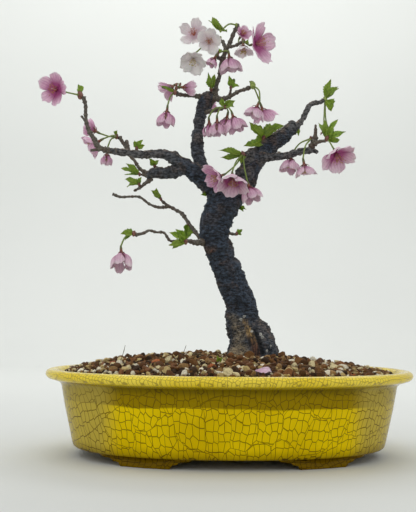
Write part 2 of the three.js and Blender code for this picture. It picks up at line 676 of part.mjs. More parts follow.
// Stalk, calyx tube and its mouth, ending flat against the blossom.
function flowerStalk(bud, blossom, reach) {
  const facing = unit(blossom.facing);
  const mouth = vector(blossom.at);
  const back = (distance) => mouth.clone().addScaledVector(facing, -distance);
  const start = vector(bud);
  const spare = start.distanceTo(mouth) - 2 * CALYX_LENGTH;
  const bend = start.clone().lerp(back(CALYX_LENGTH + clamp(spare, 0, STALK_CURVE)), 0.62);
  start.addScaledVector(bend.clone().sub(start).normalize(), reach);
  return stem([
    [...start.toArray(), STALK_RADIUS],
    [...bend.toArray(), STALK_RADIUS],
    [...back(CALYX_LENGTH).toArray(), STALK_RADIUS],
    [...back(CALYX_LENGTH * 0.5).toArray(), CALYX_RADIUS * 0.9],
    [...mouth.toArray(), CALYX_RADIUS],
  ], { sides: 4, dome: 0 });
}

// A bud: a short upright barrel with pointed ends.
function budHead([x, y, z], radius) {
  return stem([
    [x, y, z - radius * BUD_HALF, radius * BUD_GIRTH],
    [x, y, z + radius * BUD_HALF, radius * BUD_GIRTH],
  ], { sides: 5, dome: 0.6 });
}

function buildShoot(shoot, number, woodClear) {
  const [x, y, z, radius] = shoot.bud;
  const bud = [x, y, z];
  const pieces = [budHead(bud, radius)];
  const crown = shoot.stalk ? shoot.stalk[shoot.stalk.length - 1] : bud;
  if (shoot.stalk) {
    const route = [bud, ...shoot.stalk].map((point) => [...point, STALK_RADIUS]);
    pieces.push(stem(route, { sides: 4 }), budHead(crown, radius));
  }
  (shoot.leaves || []).forEach(([tip, width], index) => {
    pieces.push(leaf(crown, tip, width, radius * SPREAD, number * 7 + index));
  });
  (shoot.blossoms || []).forEach((blossom) => {
    pieces.push(flowerStalk(bud, blossom, radius * SPREAD));
  });
  (shoot.spent || []).forEach(([bend, end]) => {
    const route = [[...bud, STALK_RADIUS], [...bend, STALK_RADIUS], [...end, CALYX_RADIUS]];
    pieces.push(stem(route, { sides: 4 }));
  });
  return largestBody(fuse(pieces.map(toSolid)).subtract(woodClear));
}

// -------------------------------------------------------------------------- blossoms

// A petal's outline from one base corner to the other, as [share of its length, share of
// its half width, lift]. The lobes stand either side of the notch at the tip.
const PETAL_BELLY = 0.58;
const PETAL_EDGE = [
  [PETAL_BELLY, -1, PETAL_LIFT], [1, -0.46, 0.05], [0.88, 0, 0.02], [1, 0.46, 0.05],
  [PETAL_BELLY, 1, PETAL_LIFT],
];
const PETAL_MIDDLE = [0.5, 0, -0.04];
const PETALS = 5;

// The directions of one petal: along it, across it, and out of its inner face.
function petalFrame(axis, radial, open) {
  const outward = radial.clone().multiplyScalar(Math.sin(open))
    .addScaledVector(axis, Math.cos(open));
  const across = new THREE.Vector3().crossVectors(axis, radial);
  const normal = new THREE.Vector3().crossVectors(outward, across).normalize();
  return { outward, across, normal };
}

const petalPoint = (root, { outward, across, normal }, length, halfWidth) => (
  ([share, reach, lift]) => root.clone()
    .addScaledVector(outward, share * length)
    .addScaledVector(across, reach * halfWidth)
    .addScaledVector(normal, lift * length)
);

// Half the width of a petal whose sides just miss its neighbours'.
function petalHalfWidth(length, open) {
  const belly = PETAL_BELLY * Math.sin(open) - PETAL_LIFT * Math.cos(open);
  const sector = (PETAL_ROOT + length * belly) * Math.tan(Math.PI / PETALS);
  return Math.min(PETAL_WIDEST * length, sector - PETAL_GAP);
}

// Five petals in one closed skin: they meet in the valleys round the throat, and the
// pistil rises from it.
function corolla(start, axis, aside, upward, blossom, number) {
  const open = THREE.MathUtils.degToRad(blossom.open);
  const length = blossom.petal - PETAL_ROOT;
  const spin = jitter(number, 9);
  const radialAt = (turn) => {
    const angle = (2 * Math.PI * turn) / PETALS + spin;
    return aside.clone().multiplyScalar(Math.cos(angle))
      .addScaledVector(upward, Math.sin(angle));
  };
  const front = [];
  const back = [];
  const add = (point, normal, thickness = PETAL_THICKNESS) => {
    front.push(point.toArray());
    back.push(point.clone().addScaledVector(normal, -thickness).toArray());
    return front.length - 1;
  };
  const throat = start.clone().addScaledVector(axis, HUB_DEPTH);
  const faces = [];
  const rim = [];
  const valleys = [];
  const roots = [];
  for (let index = 0; index < PETALS; index += 1) {
    const valley = radialAt(index - 0.5);
    const { normal } = petalFrame(axis, valley, open);
    valleys.push(add(throat.clone().addScaledVector(valley, HUB_RADIUS), normal));
  }
  const pistilFoot = valleys.map((_, index) => (
    add(throat.clone().addScaledVector(radialAt(index), PISTIL_RADIUS), axis, HUB_DEPTH)
  ));
  for (let index = 0; index < PETALS; index += 1) {
    const radial = radialAt(index);
    const ownOpen = open + 0.06 * jitter(number, index);
    const frame = petalFrame(axis, radial, ownOpen);
    const root = throat.clone().addScaledVector(radial, PETAL_ROOT);
    const place = petalPoint(root, frame, length, petalHalfWidth(length, ownOpen));
    const middle = add(place(PETAL_MIDDLE), frame.normal);
    const edge = PETAL_EDGE.map((spot) => add(place(spot), frame.normal));
    const outline = [valleys[index], ...edge, valleys[(index + 1) % PETALS]];
    const inner = pistilFoot[index];
    outline.slice(1).forEach((point, step) => {
      faces.push([outline[step], point, middle]);
      rim.push([outline[step], point]);
    });
    faces.push([outline[outline.length - 1], inner, middle], [inner, outline[0], middle]);
    faces.push([valleys[index], inner, pistilFoot[(index + PETALS - 1) % PETALS]]);
    roots.push(inner);
  }
  const size = front.length;
  const tip = start.clone().addScaledVector(axis, PISTIL_REACH * blossom.petal).toArray();
  const points = [...front, ...back, tip, start.toArray()];
  const triangles = [];
  faces.forEach(([a, b, c]) => {
    triangles.push(a, b, c, size + c, size + b, size + a);
  });
  rim.forEach(([a, b]) => {
    triangles.push(a, size + a, size + b, a, size + b, b);
  });
  roots.forEach((inner, index) => {
    const next = roots[(index + 1) % PETALS];
    triangles.push(inner, next, 2 * size, size + next, size + inner, 2 * size + 1);
  });
  return indexed(points, triangles);
}

function buildBlossom(blossom, number) {
  const axis = unit(blossom.facing);
  const aside = new THREE.Vector3(0.31, 0.2, 0.93).cross(axis).normalize();
  const upward = new THREE.Vector3().crossVectors(axis, aside);
  const start = vector(blossom.at).addScaledVector(axis, SEAT_GAP);
  const pieces = [corolla(start, axis, aside, upward, blossom, number)];
  const stamens = blossom.open >= OPEN_ENOUGH ? STAMENS : 0;
  for (let index = 0; index < stamens; index += 1) {
    const angle = (2 * Math.PI * index) / stamens + 0.4;
    const lean = aside.clone().multiplyScalar(Math.cos(angle))
      .addScaledVector(upward, Math.sin(angle));
    const root = start.clone().addScaledVector(axis, HUB_DEPTH * 0.5)
      .addScaledVector(lean, PISTIL_RADIUS);
    const tip = root.clone().addScaledVector(axis, STAMEN_REACH * blossom.petal)
      .addScaledVector(lean, STAMEN_LEAN * blossom.petal);
    pieces.push(needle(root, tip, PISTIL_RADIUS));
  }
  return largestBody(fuse(pieces.map(toSolid)));
}

// A petal that has dropped on the soil, propped up at the back.
function buildFallenPetal(soil) {
  const { x, y, length, halfWidth } = FALLEN_PETAL;
  const normal = unit([0, -0.42, 0.9]);
  const outward = unit([1, -0.1, 0]);
  const across = new THREE.Vector3().crossVectors(normal, outward).normalize();
  const root = new THREE.Vector3(x - length / 2, y, SOIL_EDGE + SOIL_RISE);
  const place = petalPoint(root, { outward, across, normal }, length, halfWidth);
  const outline = [[0, -0.3, 0.02], ...PETAL_EDGE, [0, 0.3, 0.02]].map(place);
  const petal = toSolid(blade(outline, place(PETAL_MIDDLE), normal, PETAL_THICKNESS));
  return settled(petal, soil);
}

// The solid lowered until it clears the bed by the seat gap.
function settled(solid, bed) {
  let lowered = solid;
  for (let step = 0; step < 6; step += 1) {
    const gap = lowered.minGap(bed, SOIL_RISE * 2);
    lowered = lowered.translate([0, 0, SEAT_GAP - gap]);
  }
  return lowered;
}

// -------------------------------------------------------------------------- assembly

const bonsai = new THREE.Group();

function place(name, solid, material) {
  const mesh = new THREE.Mesh(toGeometry(solid), new THREE.MeshStandardMaterial(material));
  mesh.name = name;
  bonsai.add(mesh);
}

const woodClear = buildWood(SEAT_GAP);
const meshClear = [-1, 1].map(drainMeshClear);
const soil = buildSoil([woodClear, ...meshClear]);

place('pot', buildPot(), MATERIALS.glaze);
place('drain_mesh_left', drainMesh(-1), MATERIALS.mesh);
place('drain_mesh_right', drainMesh(1), MATERIALS.mesh);
place('soil', soil, MATERIALS.soil);
place('wood', buildWood(), MATERIALS.bark);
place('fallen_petal', buildFallenPetal(soil), MATERIALS.petal);

Object.entries(SHOOTS).forEach(([name, shoot], number) => {
  place(`shoot_${name}`, buildShoot(shoot, number, woodClear), MATERIALS.shoot);
  (shoot.blossoms || []).forEach((blossom, index) => {
    const label = `blossom_${name}_${index + 1}`;
    place(label, buildBlossom(blossom, number * 5 + index), MATERIALS.petal);
  });
});
place('blossom_leader_rear', buildBlossom(REAR_BLOSSOM, 200), MATERIALS.petal);

export default bonsai;
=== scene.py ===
"""Cherry blossom bonsai in an oval tray: its looks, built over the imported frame.

Shapes are in millimetres, in the frame of the part, until a mesh is made of them; the looks are in metres.
"""

import math

import bpy
import numpy as np
from mathutils import Matrix, Vector, noise
from mathutils.bvhtree import BVHTree
from mathutils.kdtree import KDTree


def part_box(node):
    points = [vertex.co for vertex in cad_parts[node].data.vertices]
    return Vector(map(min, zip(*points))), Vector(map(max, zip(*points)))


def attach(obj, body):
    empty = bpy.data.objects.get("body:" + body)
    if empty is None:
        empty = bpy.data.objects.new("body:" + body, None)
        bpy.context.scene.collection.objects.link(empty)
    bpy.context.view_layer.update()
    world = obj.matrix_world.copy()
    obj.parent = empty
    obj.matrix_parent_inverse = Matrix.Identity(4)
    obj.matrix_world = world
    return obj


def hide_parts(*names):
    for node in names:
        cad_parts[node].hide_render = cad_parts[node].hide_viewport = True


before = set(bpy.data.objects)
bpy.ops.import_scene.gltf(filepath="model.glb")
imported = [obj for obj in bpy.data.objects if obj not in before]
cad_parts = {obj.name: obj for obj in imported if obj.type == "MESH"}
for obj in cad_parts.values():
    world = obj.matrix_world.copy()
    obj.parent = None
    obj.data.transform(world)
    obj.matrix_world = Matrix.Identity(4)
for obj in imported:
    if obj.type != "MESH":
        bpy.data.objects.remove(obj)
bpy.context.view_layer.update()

MM = 0.001
UP = np.array([0.0, 0.0, 1.0])


# ---- limbs and young shoots ----

# Every limb runs through points [x, y, z, radius], thickest end first.
TRUNK = [[22, 6, 58, 22], [23, 6, 80, 27], [24, 6, 99, 25.5], [23, 6, 107, 24.5], [20, 6, 116, 22],
         [15, 6, 126, 18], [12, 5, 136, 16], [11, 4, 146, 14.6], [9, 3, 154, 15.4], [5, 2, 162, 15],
         [1, 1, 172, 14.3], [-3, 0, 182, 14.7], [-8, -1, 190, 13], [-10, -3, 199, 13.4],
         [-15, -5, 213, 14.3], [-16, -6, 226, 15.3], [-11, -6, 239, 16.3], [-7, -5, 251, 17.5],
         [-5, -4, 262, 14]]
BRANCHES = [
    # left branch, coming forwards
    [[-9, -4, 252, 12], [-18, -5, 265, 11], [-29, -6, 273, 10.2], [-41, -9, 282, 8.5], [-51, -12, 287, 7.2],
        [-61, -15, 293, 5.5], [-71, -18, 295, 4.5], [-86, -24, 293, 4], [-100, -30, 293, 3.6],
        [-114, -36, 293, 3.3], [-120, -38, 293, 2.6]],
    # right branch, going back
    [[-4, -2, 250, 14], [8, 0, 263, 12.5], [17, 3, 277, 11.5], [22, 6, 289, 10.5], [29, 9, 300, 10],
        [37, 12, 308, 9.6], [46, 15, 316, 8.9], [57, 19, 324, 8], [65, 22, 332, 6.6], [72, 26, 336, 4.2]],
    # leader, ending in an old pruned knob
    [[-14, -4, 256, 11], [-26, -3, 279, 8], [-32, -1, 294, 6.2], [-34, 0, 303, 6.7], [-34, 1, 313, 6],
        [-33, 3, 323, 5.8], [-32, 4, 334, 5.8], [-30, 5, 345, 6.6], [-27, 5, 352, 8.4], [-25, 5, 359, 8],
        [-24, 5, 365, 4]],
]
TWIGS = [
    # left branch: rising tip, cut stub at the bend, side twig, knob
    [[-112, -35, 293, 3.2], [-125, -40, 294, 3], [-131, -42, 297, 2.7], [-134, -44, 303, 2.5],
        [-138, -46, 309, 2.3], [-141, -48, 317, 2], [-142, -50, 326, 1.9], [-142, -52, 334, 1.8],
        [-144, -54, 341, 2.4]],
    [[-127, -41, 294, 2], [-137, -44, 292, 1.5]],
    [[-140, -48, 316, 1.6], [-146, -50, 324, 1]],
    [[-53, -13, 290, 4], [-58, -15, 298, 3]],
    # lower left branch and its ends
    [[-44, -11, 284, 7], [-59, -8, 279, 6.3], [-68, -4, 278, 6], [-77, 0, 279, 5.6], [-84, 3, 276, 4]],
    [[-80, 2, 277, 3], [-92, 7, 284, 1.9], [-98, 9, 293, 1.9], [-104, 11, 300, 1.7], [-109, 13, 310, 1.8],
        [-114, 13, 318, 2.3]],
    [[-102, 10, 297, 1.5], [-107, 16, 315, 2]],
    [[-81, 2, 275, 2], [-90, -1, 277, 1.7]],
    [[-80, 2, 273, 2.6], [-86, -2, 268, 2], [-91, -5, 263, 1.6], [-97, -8, 259, 1.2]],
    # thin middle left branch and its fork
    [[-24, -4, 210, 4], [-31, 3, 215, 2.4], [-37, 10, 223, 2.2], [-43, 17, 232, 2], [-49, 23, 241, 2.1],
        [-55, 28, 245, 1.9], [-62, 32, 249, 1.9], [-73, 38, 249, 1.6], [-83, 43, 253, 1.5],
        [-94, 47, 261, 1.5], [-104, 51, 262, 1.4], [-115, 54, 262, 1.5], [-123, 55, 265, 1.7]],
    [[-61, 31, 248, 1.8], [-70, 31, 255, 1.6]],
    # thin low left branch
    [[-24, -7, 209, 4], [-35, -16, 207, 2.6], [-42, -22, 208, 2.2], [-50, -28, 207, 1.5],
        [-60, -34, 207, 1.4], [-66, -39, 214, 1.4], [-73, -43, 214, 1.3], [-80, -48, 215, 1.3],
        [-85, -52, 212, 1.5], [-92, -56, 210, 2]],
    # stub on the trunk's right
    [[-6, -7, 220, 2.2], [0, -11, 217, 1.6], [5, -13, 216, 1.5]],
    # leader: left spur and its tip
    [[-27, 4, 359, 3.5], [-38, 0, 359, 2], [-48, -6, 358, 1.9], [-55, -10, 358, 2.4]],
    [[-54, -9, 358, 2], [-62, -15, 362, 1.7], [-70, -20, 362, 1.5]],
    # leader: tall top twig with its spurs
    [[-22, 4, 352, 5], [-16, 4, 365, 3.4], [-15, 3, 372, 2.6], [-12, 1, 380, 2.3], [-11, -1, 388, 2.5],
        [-9, -3, 397, 2.8], [-6, -5, 405, 2.4], [-2, -7, 413, 2.3], [2, -9, 423, 2.2], [6, -11, 431, 2.3]],
    [[-9, -3, 395, 2], [-15, -8, 398, 2]],
    [[-6, -5, 406, 1.8], [-9, 0, 417, 2]],
    [[-4, -6, 409, 2], [3, -10, 409, 1.6], [9, -14, 411, 1.8]],
    # leader: right twig and its upright side twig
    [[-24, 4, 357, 4.5], [-13, -2, 356, 3.2], [-7, -7, 355, 2.6], [0, -12, 357, 2.2], [7, -17, 360, 2],
        [13, -21, 361, 1.9], [17, -24, 362, 2.4]],
    [[-2, -11, 356, 1.6], [-1, -12, 363, 1.3]],
    # leader: lower right twig, and the stalk of the blossom behind it
    [[-28, 3, 343, 3], [-19, -7, 342, 2.1], [-12, -14, 342, 1.8], [-7, -19, 343, 1.8]],
    [[-27, 8, 353, 1.5], [-26, 19, 359, 1.2], [-24, 26, 359, 1.7]],
    # right branch: thin tip, cut stub at the crotch and bud knob
    [[66, 22, 333, 4.5], [73, 26, 338, 3.2], [78, 30, 345, 2.9], [82, 33, 352, 2.9], [86, 36, 360, 2.8],
        [90, 39, 364, 2.8], [98, 43, 366, 2.4], [103, 47, 369, 2.4]],
    [[18, 2, 280, 6], [7, -10, 279, 5]],
    [[23, 5, 304, 4], [14, -10, 297, 2.8]],
    # lower right branch and its two ends
    [[27, 6, 297, 7.5], [35, -2, 296, 5], [43, -8, 296, 4.2], [55, -15, 296, 3.7], [66, -21, 298, 3.5],
        [76, -26, 299, 3.5], [85, -29, 297, 1.8]],
    [[76, -26, 299, 3], [81, -28, 308, 3.8], [82, -29, 315, 2], [82, -30, 324, 1.3]],
    [[80, -28, 305, 3], [86, -32, 307, 1.8], [91, -35, 307, 1.9]],
    # old wound on the right branch's shoulder
    [[60, 18, 327, 5], [67, 21, 339, 3.6]],
]
ROOTS = [
    [[24, 6, 110, 13], [36, 6, 98, 9], [50, 4, 84, 6], [66, 2, 72, 3]],
    [[17, 4, 108, 12], [4, -6, 94, 8], [-10, -14, 82, 5], [-26, -20, 72, 3]],
    [[18, 8, 104, 12], [8, 22, 88, 8], [-6, 36, 74, 4]],
]

# Every shoot as ([x, y, z, radius] of its bud, its leaves, its blossoms). A leaf is the [x, y, z] of its
# tip and its width; a blossom is (place, way it faces, half angle it opens to, length of its petals).
SHOOTS = {
    "left_tip": ([-147, -54, 343, 3], [[-149, -52, 355, 5]],
        [([-165, -78, 341], [-0.45, -0.88, -0.1], 64, 15)]),
    "left_spur": ([-117, 11, 318, 2.6], [[-116, 8, 324, 4]],
        [([-137, -4, 320], [-0.75, 0.35, 0.45], 44, 13), ([-133, -14, 307], [-0.85, -0.05, -0.55], 54, 17),
         ([-126, 8, 299], [-0.05, 0.1, -1], 34, 12)]),
    "left_upper": ([-94, -27, 298, 2.2], [[-96, -28, 306, 4.5], [-88, -24, 308, 4], [-86, -30, 301, 4]],
        []),
    "left_crotch": ([-77, 1, 286, 2], [[-82, -4, 293, 5], [-73, 4, 293, 5]], []),
    "left_low_upper": ([-92, -2, 277, 2], [[-105, -6, 288, 5], [-111, 0, 284, 5], [-108, 6, 278, 5]], []),
    "left_low_lower": ([-92, -6, 266, 2], [[-106, -10, 271, 6], [-105, -2, 265, 6], [-90, -9, 273, 4]], []),
    "mid_left_fork": ([-71, 31, 257, 2], [[-81, 28, 266, 5], [-76, 34, 269, 5]], []),
    "mid_left_leaf": ([-42, 15, 229, 1.8], [[-44, 12, 213, 10]], []),
    "low_left_base": ([-45, -27.4, 206.6, 2.6], [[-61, -33, 215, 6], [-55, -29, 219, 6], [-61, -37, 203, 6],
        [-58, -29, 200, 6]], []),
    "low_left_tip": ([-94, -57, 211, 2.6], [[-106, -62, 210, 5], [-103, -54, 205, 5], [-102, -52, 214, 5]],
        [([-105, -62, 193], [0.1, -0.35, -0.9], 34, 18)]),
    "trunk_stub": ([6, -13, 217, 2], [[11, -16, 221, 4], [11, -12, 216, 3]], []),
    "leader_left": ([-57.5, -14, 358.5, 2.6], [[-72, -27, 362, 4]],
        [([-60.5, 3, 369], [-0.7, 0.45, -0.35], 54, 14), ([-49, -13, 364], [0.9, 0.3, 0], 36, 12),
         ([-65, -15, 339], [-0.1, 0, -1], 36, 17)]),
    "leader_crown": ([-20.4, 0.8, 366.6, 2.4], [[-24, -4, 383, 5], [-17, -2, 382, 5], [-19, -8, 374, 4]],
        []),
    "leader_right": ([-1, -12, 365, 2], [[-3, -14, 377, 5], [2, -8, 376, 5], [7, -16, 366, 5]], []),
    "leader_right_tip": ([20, -26, 364, 3], [[17, -24, 369, 3]],
        [([23.5, -36, 340], [-0.4, 0.05, -0.9], 50, 14), ([30.5, -15, 343], [0.35, 0.35, -0.87], 52, 17)]),
    "leader_low_right": ([-7, -20, 343, 2.4], [[-11, -24, 351, 5], [-1, -15, 352, 5], [3, -22, 349, 5],
        [1, -27, 342, 5]],
        [([-22.5, -12, 328], [0.1, 0.15, -1], 26, 14), ([-15, -23, 327], [0.05, 0.05, -1], 36, 14),
         ([-4.5, -9, 335], [-0.2, 0.5, -1], 38, 12), ([0.5, -28, 331], [0.3, -0.05, -1], 44, 17)]),
    "top_lower": ([-15, -9, 401, 3], [[-10, -10, 405, 5]],
        [([-18, -14, 394], [-0.5, -0.2, -0.9], 40, 10), ([-3, -14, 396], [0.15, 0.1, -1], 46, 17)]),
    "top_left": ([-12, 0, 419, 2.8], [[-20, 2, 417, 3]],
        [([-38, 0, 423], [-0.2, -0.95, 0.1], 72, 16), ([-24, -19, 410], [0.1, -0.95, -0.3], 70, 14),
         ([-39, -14, 394], [-0.1, -0.6, -0.85], 62, 17)]),
    "top_right": ([11, -16, 412, 2.6], [[17, -18, 409, 4]],
        [([10.5, 2, 424], [0.35, -0.75, 0.35], 62, 11), ([10.5, -24, 404], [0, -0.15, -1], 58, 13),
         ([22, -22, 407], [0.8, -0.6, 0.02], 64, 19)]),
    "top_tip": ([4, -12, 430, 1.8], [[-20, -18, 436, 7], [-24, -13, 434, 5], [-13, -20, 426, 4],
        [-5, -12, 423, 5]], []),
    "right_upper": ([34.6, 9.2, 318.2, 3], [[20, 2, 334, 8], [42, 13, 336, 9], [54, 4, 332, 9],
        [14, 0, 309, 9]], []),
    "right_inner": ([11.6, -12.4, 297, 3], [[-13, -20, 300, 6], [-11, -9, 295, 6], [9, -16, 287, 5]],
        [([-11.5, -27, 272], [-0.85, -0.4, -0.45], 58, 18), ([-0.5, -40, 269.5], [0, -0.5, -0.85], 54, 21),
         ([17, -25, 262], [0.3, -0.15, -0.95], 42, 18)]),
    "right_tip": ([105, 48, 371, 3], [[111, 45, 393, 6], [118, 42, 384, 6], [121, 52, 385, 6],
        [112, 48, 358, 9]], []),
    "right_low_tip": ([92, -36, 309, 2.8], [[103, -39, 328, 6], [98, -30, 326, 6], [109, -42, 316, 6],
        [106, -33, 309, 6], [86, -26, 328, 5], [90, -34, 329, 5]],
        [([99, -46, 293], [0.25, -0.55, -0.8], 62, 19)]),
    "right_low": ([78, -27, 311, 2.2], [],
        [([60, -14, 292.5], [-0.15, -0.15, -1], 48, 17), ([69.5, -38, 282.5], [0.2, 0.1, -1], 54, 15)]),
}
REAR_BLOSSOM = ([-24, 26.5, 359], [0.1, 0.9, -0.3], 72, 13)
# The leaves of this shoot stand on a stalk of their own, through these points.
RAISED = {"top_tip": [[-3, -14, 430], [-12, -16, 422]]}
# Stalks whose petals have dropped, each as [bend, end].
SPENT = {"right_tip": [[[103, 44, 345], [103, 43, 333]], [[106, 50, 351], [109, 51, 337]]]}


# ---- numbers ----

def jitter(i, j):
    """A repeatable value from -1 to 1 for a pair of whole numbers."""
    wave = math.sin(i * 127.1 + j * 311.7 + 17.3) * 43758.5453
    return 2 * (wave - math.floor(wave)) - 1


def unit(values):
    values = np.asarray(values, float)
    return values / np.linalg.norm(values)


def smoothstep(low, high, value):
    t = np.clip((value - low) / (high - low), 0, 1)
    return t * t * (3 - 2 * t)


def spoke(axis, turn):
    """The direction square to an axis at a turn round it."""
    aside = unit(np.cross([0.31, 0.2, 0.93], axis))
    return aside * math.cos(turn) + np.cross(axis, aside) * math.sin(turn)


# ---- shapes: each is its points and its triangles ----

def smooth_line(points, step):
    """A centripetal Catmull-Rom line through [x, y, z, radius] points, sampled every step or so."""
    points = np.asarray(points, float)
    places, radii = points[:, :3], points[:, 3]
    ends = np.vstack([2 * places[0] - places[1], places, 2 * places[-1] - places[-2]])
    line = []
    for i in range(len(points) - 1):
        p0, p1, p2, p3 = ends[i:i + 4]
        d0, d1, d2 = (max(math.sqrt(np.linalg.norm(b - a)), 1e-3) for a, b in ((p0, p1), (p1, p2), (p2, p3)))
        m1 = ((p1 - p0) / d0 - (p2 - p0) / (d0 + d1) + (p2 - p1) / d1) * d1
        m2 = ((p2 - p1) / d1 - (p3 - p1) / (d1 + d2) + (p3 - p2) / d2) * d1
        count = max(2, math.ceil(d1 * d1 / step))
        for t in np.arange(count) / count:
            t2, t3 = t * t, t * t * t
            place = ((2 * t3 - 3 * t2 + 1) * p1 + (t3 - 2 * t2 + t) * m1
                     + (3 * t2 - 2 * t3) * p2 + (t3 - t2) * m2)
            line.append([*place, radii[i] * (1 - t) + radii[i + 1] * t])
    line.append([*places[-1], radii[-1]])
    return np.array(line)


def framed(line):
    """At each sample of a line: its tangent and two sides square to it that twist as little as they can."""
    tangents = np.gradient(line[:, :3], axis=0)
    tangents /= np.linalg.norm(tangents, axis=1)[:, None]
    side = np.array([0.23, 0.91, 0.34])
    for tangent in tangents:
        side = unit(side - tangent * side.dot(tangent))
        yield tangent, side, np.cross(tangent, side)


def grid_faces(rows, columns, wrap=False):
    """Triangles of a grid of points, closed round its columns if wrap is set."""
    down = np.arange(rows - 1)[:, None] * columns
    along = np.arange(columns if wrap else columns - 1)[None, :]
    a, b = (down + along).ravel(), (down + (along + 1) % columns).ravel()
    return np.vstack([np.column_stack([a, b, b + columns]), np.column_stack([a, b + columns, a + columns])])


def capped(rings, first, last):
    """A closed skin through rings of points, with a middle point for each of its two ends."""
    points = np.vstack([*rings, first, last])
    count = len(rings[0])
    near, far = np.full(count, len(points) - 2), np.full(count, len(points) - 1)
    ring, top = np.arange(count), (len(rings) - 1) * count
    after = (ring + 1) % count
    return points, np.vstack([grid_faces(len(rings), count, wrap=True), np.column_stack([near, after, ring]),
                              np.column_stack([far, top + ring, top + after])])


def tube(points, sides, step, dome=0.5, knobs=0.0, seed=0):
    """A closed, tapering tube through [x, y, z, radius] points; knobs swells and pinches it along the way."""
    line = smooth_line(points, step)
    frames = list(framed(line))
    angles = 2 * math.pi * np.arange(sides) / sides
    rings = []
    for i, (row, (_, side, other)) in enumerate(zip(line, frames)):
        swell = 1 + knobs * jitter(seed + i // 2, 5)
        reach = row[3] * swell * (1 + 0.5 * knobs * np.array([jitter(seed + i, k) for k in range(sides)]))
        rings.append(row[:3] + np.outer(np.cos(angles) * reach, side)
                     + np.outer(np.sin(angles) * reach, other))
    return capped(rings, line[0, :3] - frames[0][0] * dome * line[0, 3],
                  line[-1, :3] + frames[-1][0] * dome * line[-1, 3])


def sheet(grid, normal, thickness):
    """A closed thin shell from a rows x columns grid of points and the one way its front faces."""
    rows, columns = grid.shape[:2]
    front = grid.reshape(-1, 3)
    faces = grid_faces(rows, columns)
    size = rows * columns
    index = np.arange(size).reshape(rows, columns)
    rim = np.concatenate([index[0, :-1], index[:-1, -1], index[-1, :0:-1], index[:0:-1, 0]])
    after = np.roll(rim, -1)
    return (np.vstack([front, front - normal * thickness]),
            np.vstack([faces, faces[:, ::-1] + size, np.column_stack([rim, rim + size, after + size]),
                       np.column_stack([rim, after + size, after])]))


def both_faces(values, shape):
    """One value for each point of a sheet, from a grid of values for its front."""
    return np.tile(np.broadcast_to(values, shape).ravel(), 2)


# ---- pieces ----

def added(name, data):
    """A new object in the scene."""
    thing = bpy.data.objects.new(name, data)
    bpy.context.scene.collection.objects.link(thing)
    return thing


def modified(thing):
    """The mesh of a thing as its modifiers leave it."""
    return bpy.data.meshes.new_from_object(thing.evaluated_get(bpy.context.evaluated_depsgraph_get()))


def numbers(items, key, width=1, kind=float):
    """One value, or one row of them, for each item of a mesh."""
    values = np.empty(len(items) * width, kind)
    items.foreach_get(key, values)
    return values.reshape(-1, width) if width > 1 else values


class Piece:
    """Collects closed shapes, with a material for each and named values for each point."""

    def __init__(self, name, slot, looks, *nodes, smooth=True):
        self.name, self.slot, self.looks, self.nodes, self.smooth = name, slot, looks, nodes, smooth
        self.points, self.faces, self.kinds, self.values, self.size = [], [], [], {}, 0

    def add(self, shape, look=0, **values):
        points, faces = shape
        self.points.append(points)
        self.faces.append(np.asarray(faces) + self.size)
        self.kinds.append(np.full(len(faces), look))
        for key, value in values.items():
            whole = np.broadcast_to(np.asarray(value, float).ravel(), (len(points),))
            self.values.setdefault(key, []).append((self.size, whole))
        self.size += len(points)

    def mesh(self):
        points, faces = np.vstack(self.points) * MM, np.vstack(self.faces)
        mesh = bpy.data.meshes.new(self.name)
        mesh.vertices.add(len(points))
        mesh.vertices.foreach_set("co", points.ravel())
        mesh.loops.add(faces.size)
        mesh.loops.foreach_set("vertex_index", faces.astype(np.int32).ravel())
        mesh.polygons.add(len(faces))
        mesh.polygons.foreach_set("loop_start", np.arange(0, faces.size, 3, dtype=np.int32))
        mesh.polygons.foreach_set("material_index", np.concatenate(self.kinds).astype(np.int32))
        mesh.polygons.foreach_set("use_smooth", np.full(len(faces), self.smooth))
        for key, parts in self.values.items():
            whole = np.zeros(len(points), np.float32)
            for start, value in parts:
                whole[start:start + len(value)] = value
            mesh.attributes.new(key, "FLOAT", "POINT").data.foreach_set("value", whole)
        mesh.update(calc_edges=True)
        mesh.validate()
        for look in self.looks:
            mesh.materials.append(look)
        return mesh

    def build(self):
        """Puts the piece on the part's body, in place of the CAD nodes that it was given."""
        thing = added(self.name, self.mesh())
        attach(thing, "root")
        if self.nodes:
            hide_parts(*self.nodes)
        return thing


# ---- materials ----

def linear(color):
    """A linear colour with its alpha from 0-255 display values."""
    return (*(((v / 255 + 0.055) / 1.055) ** 2.4 if v > 10 else v / 255 / 12.92 for v in color), 1)


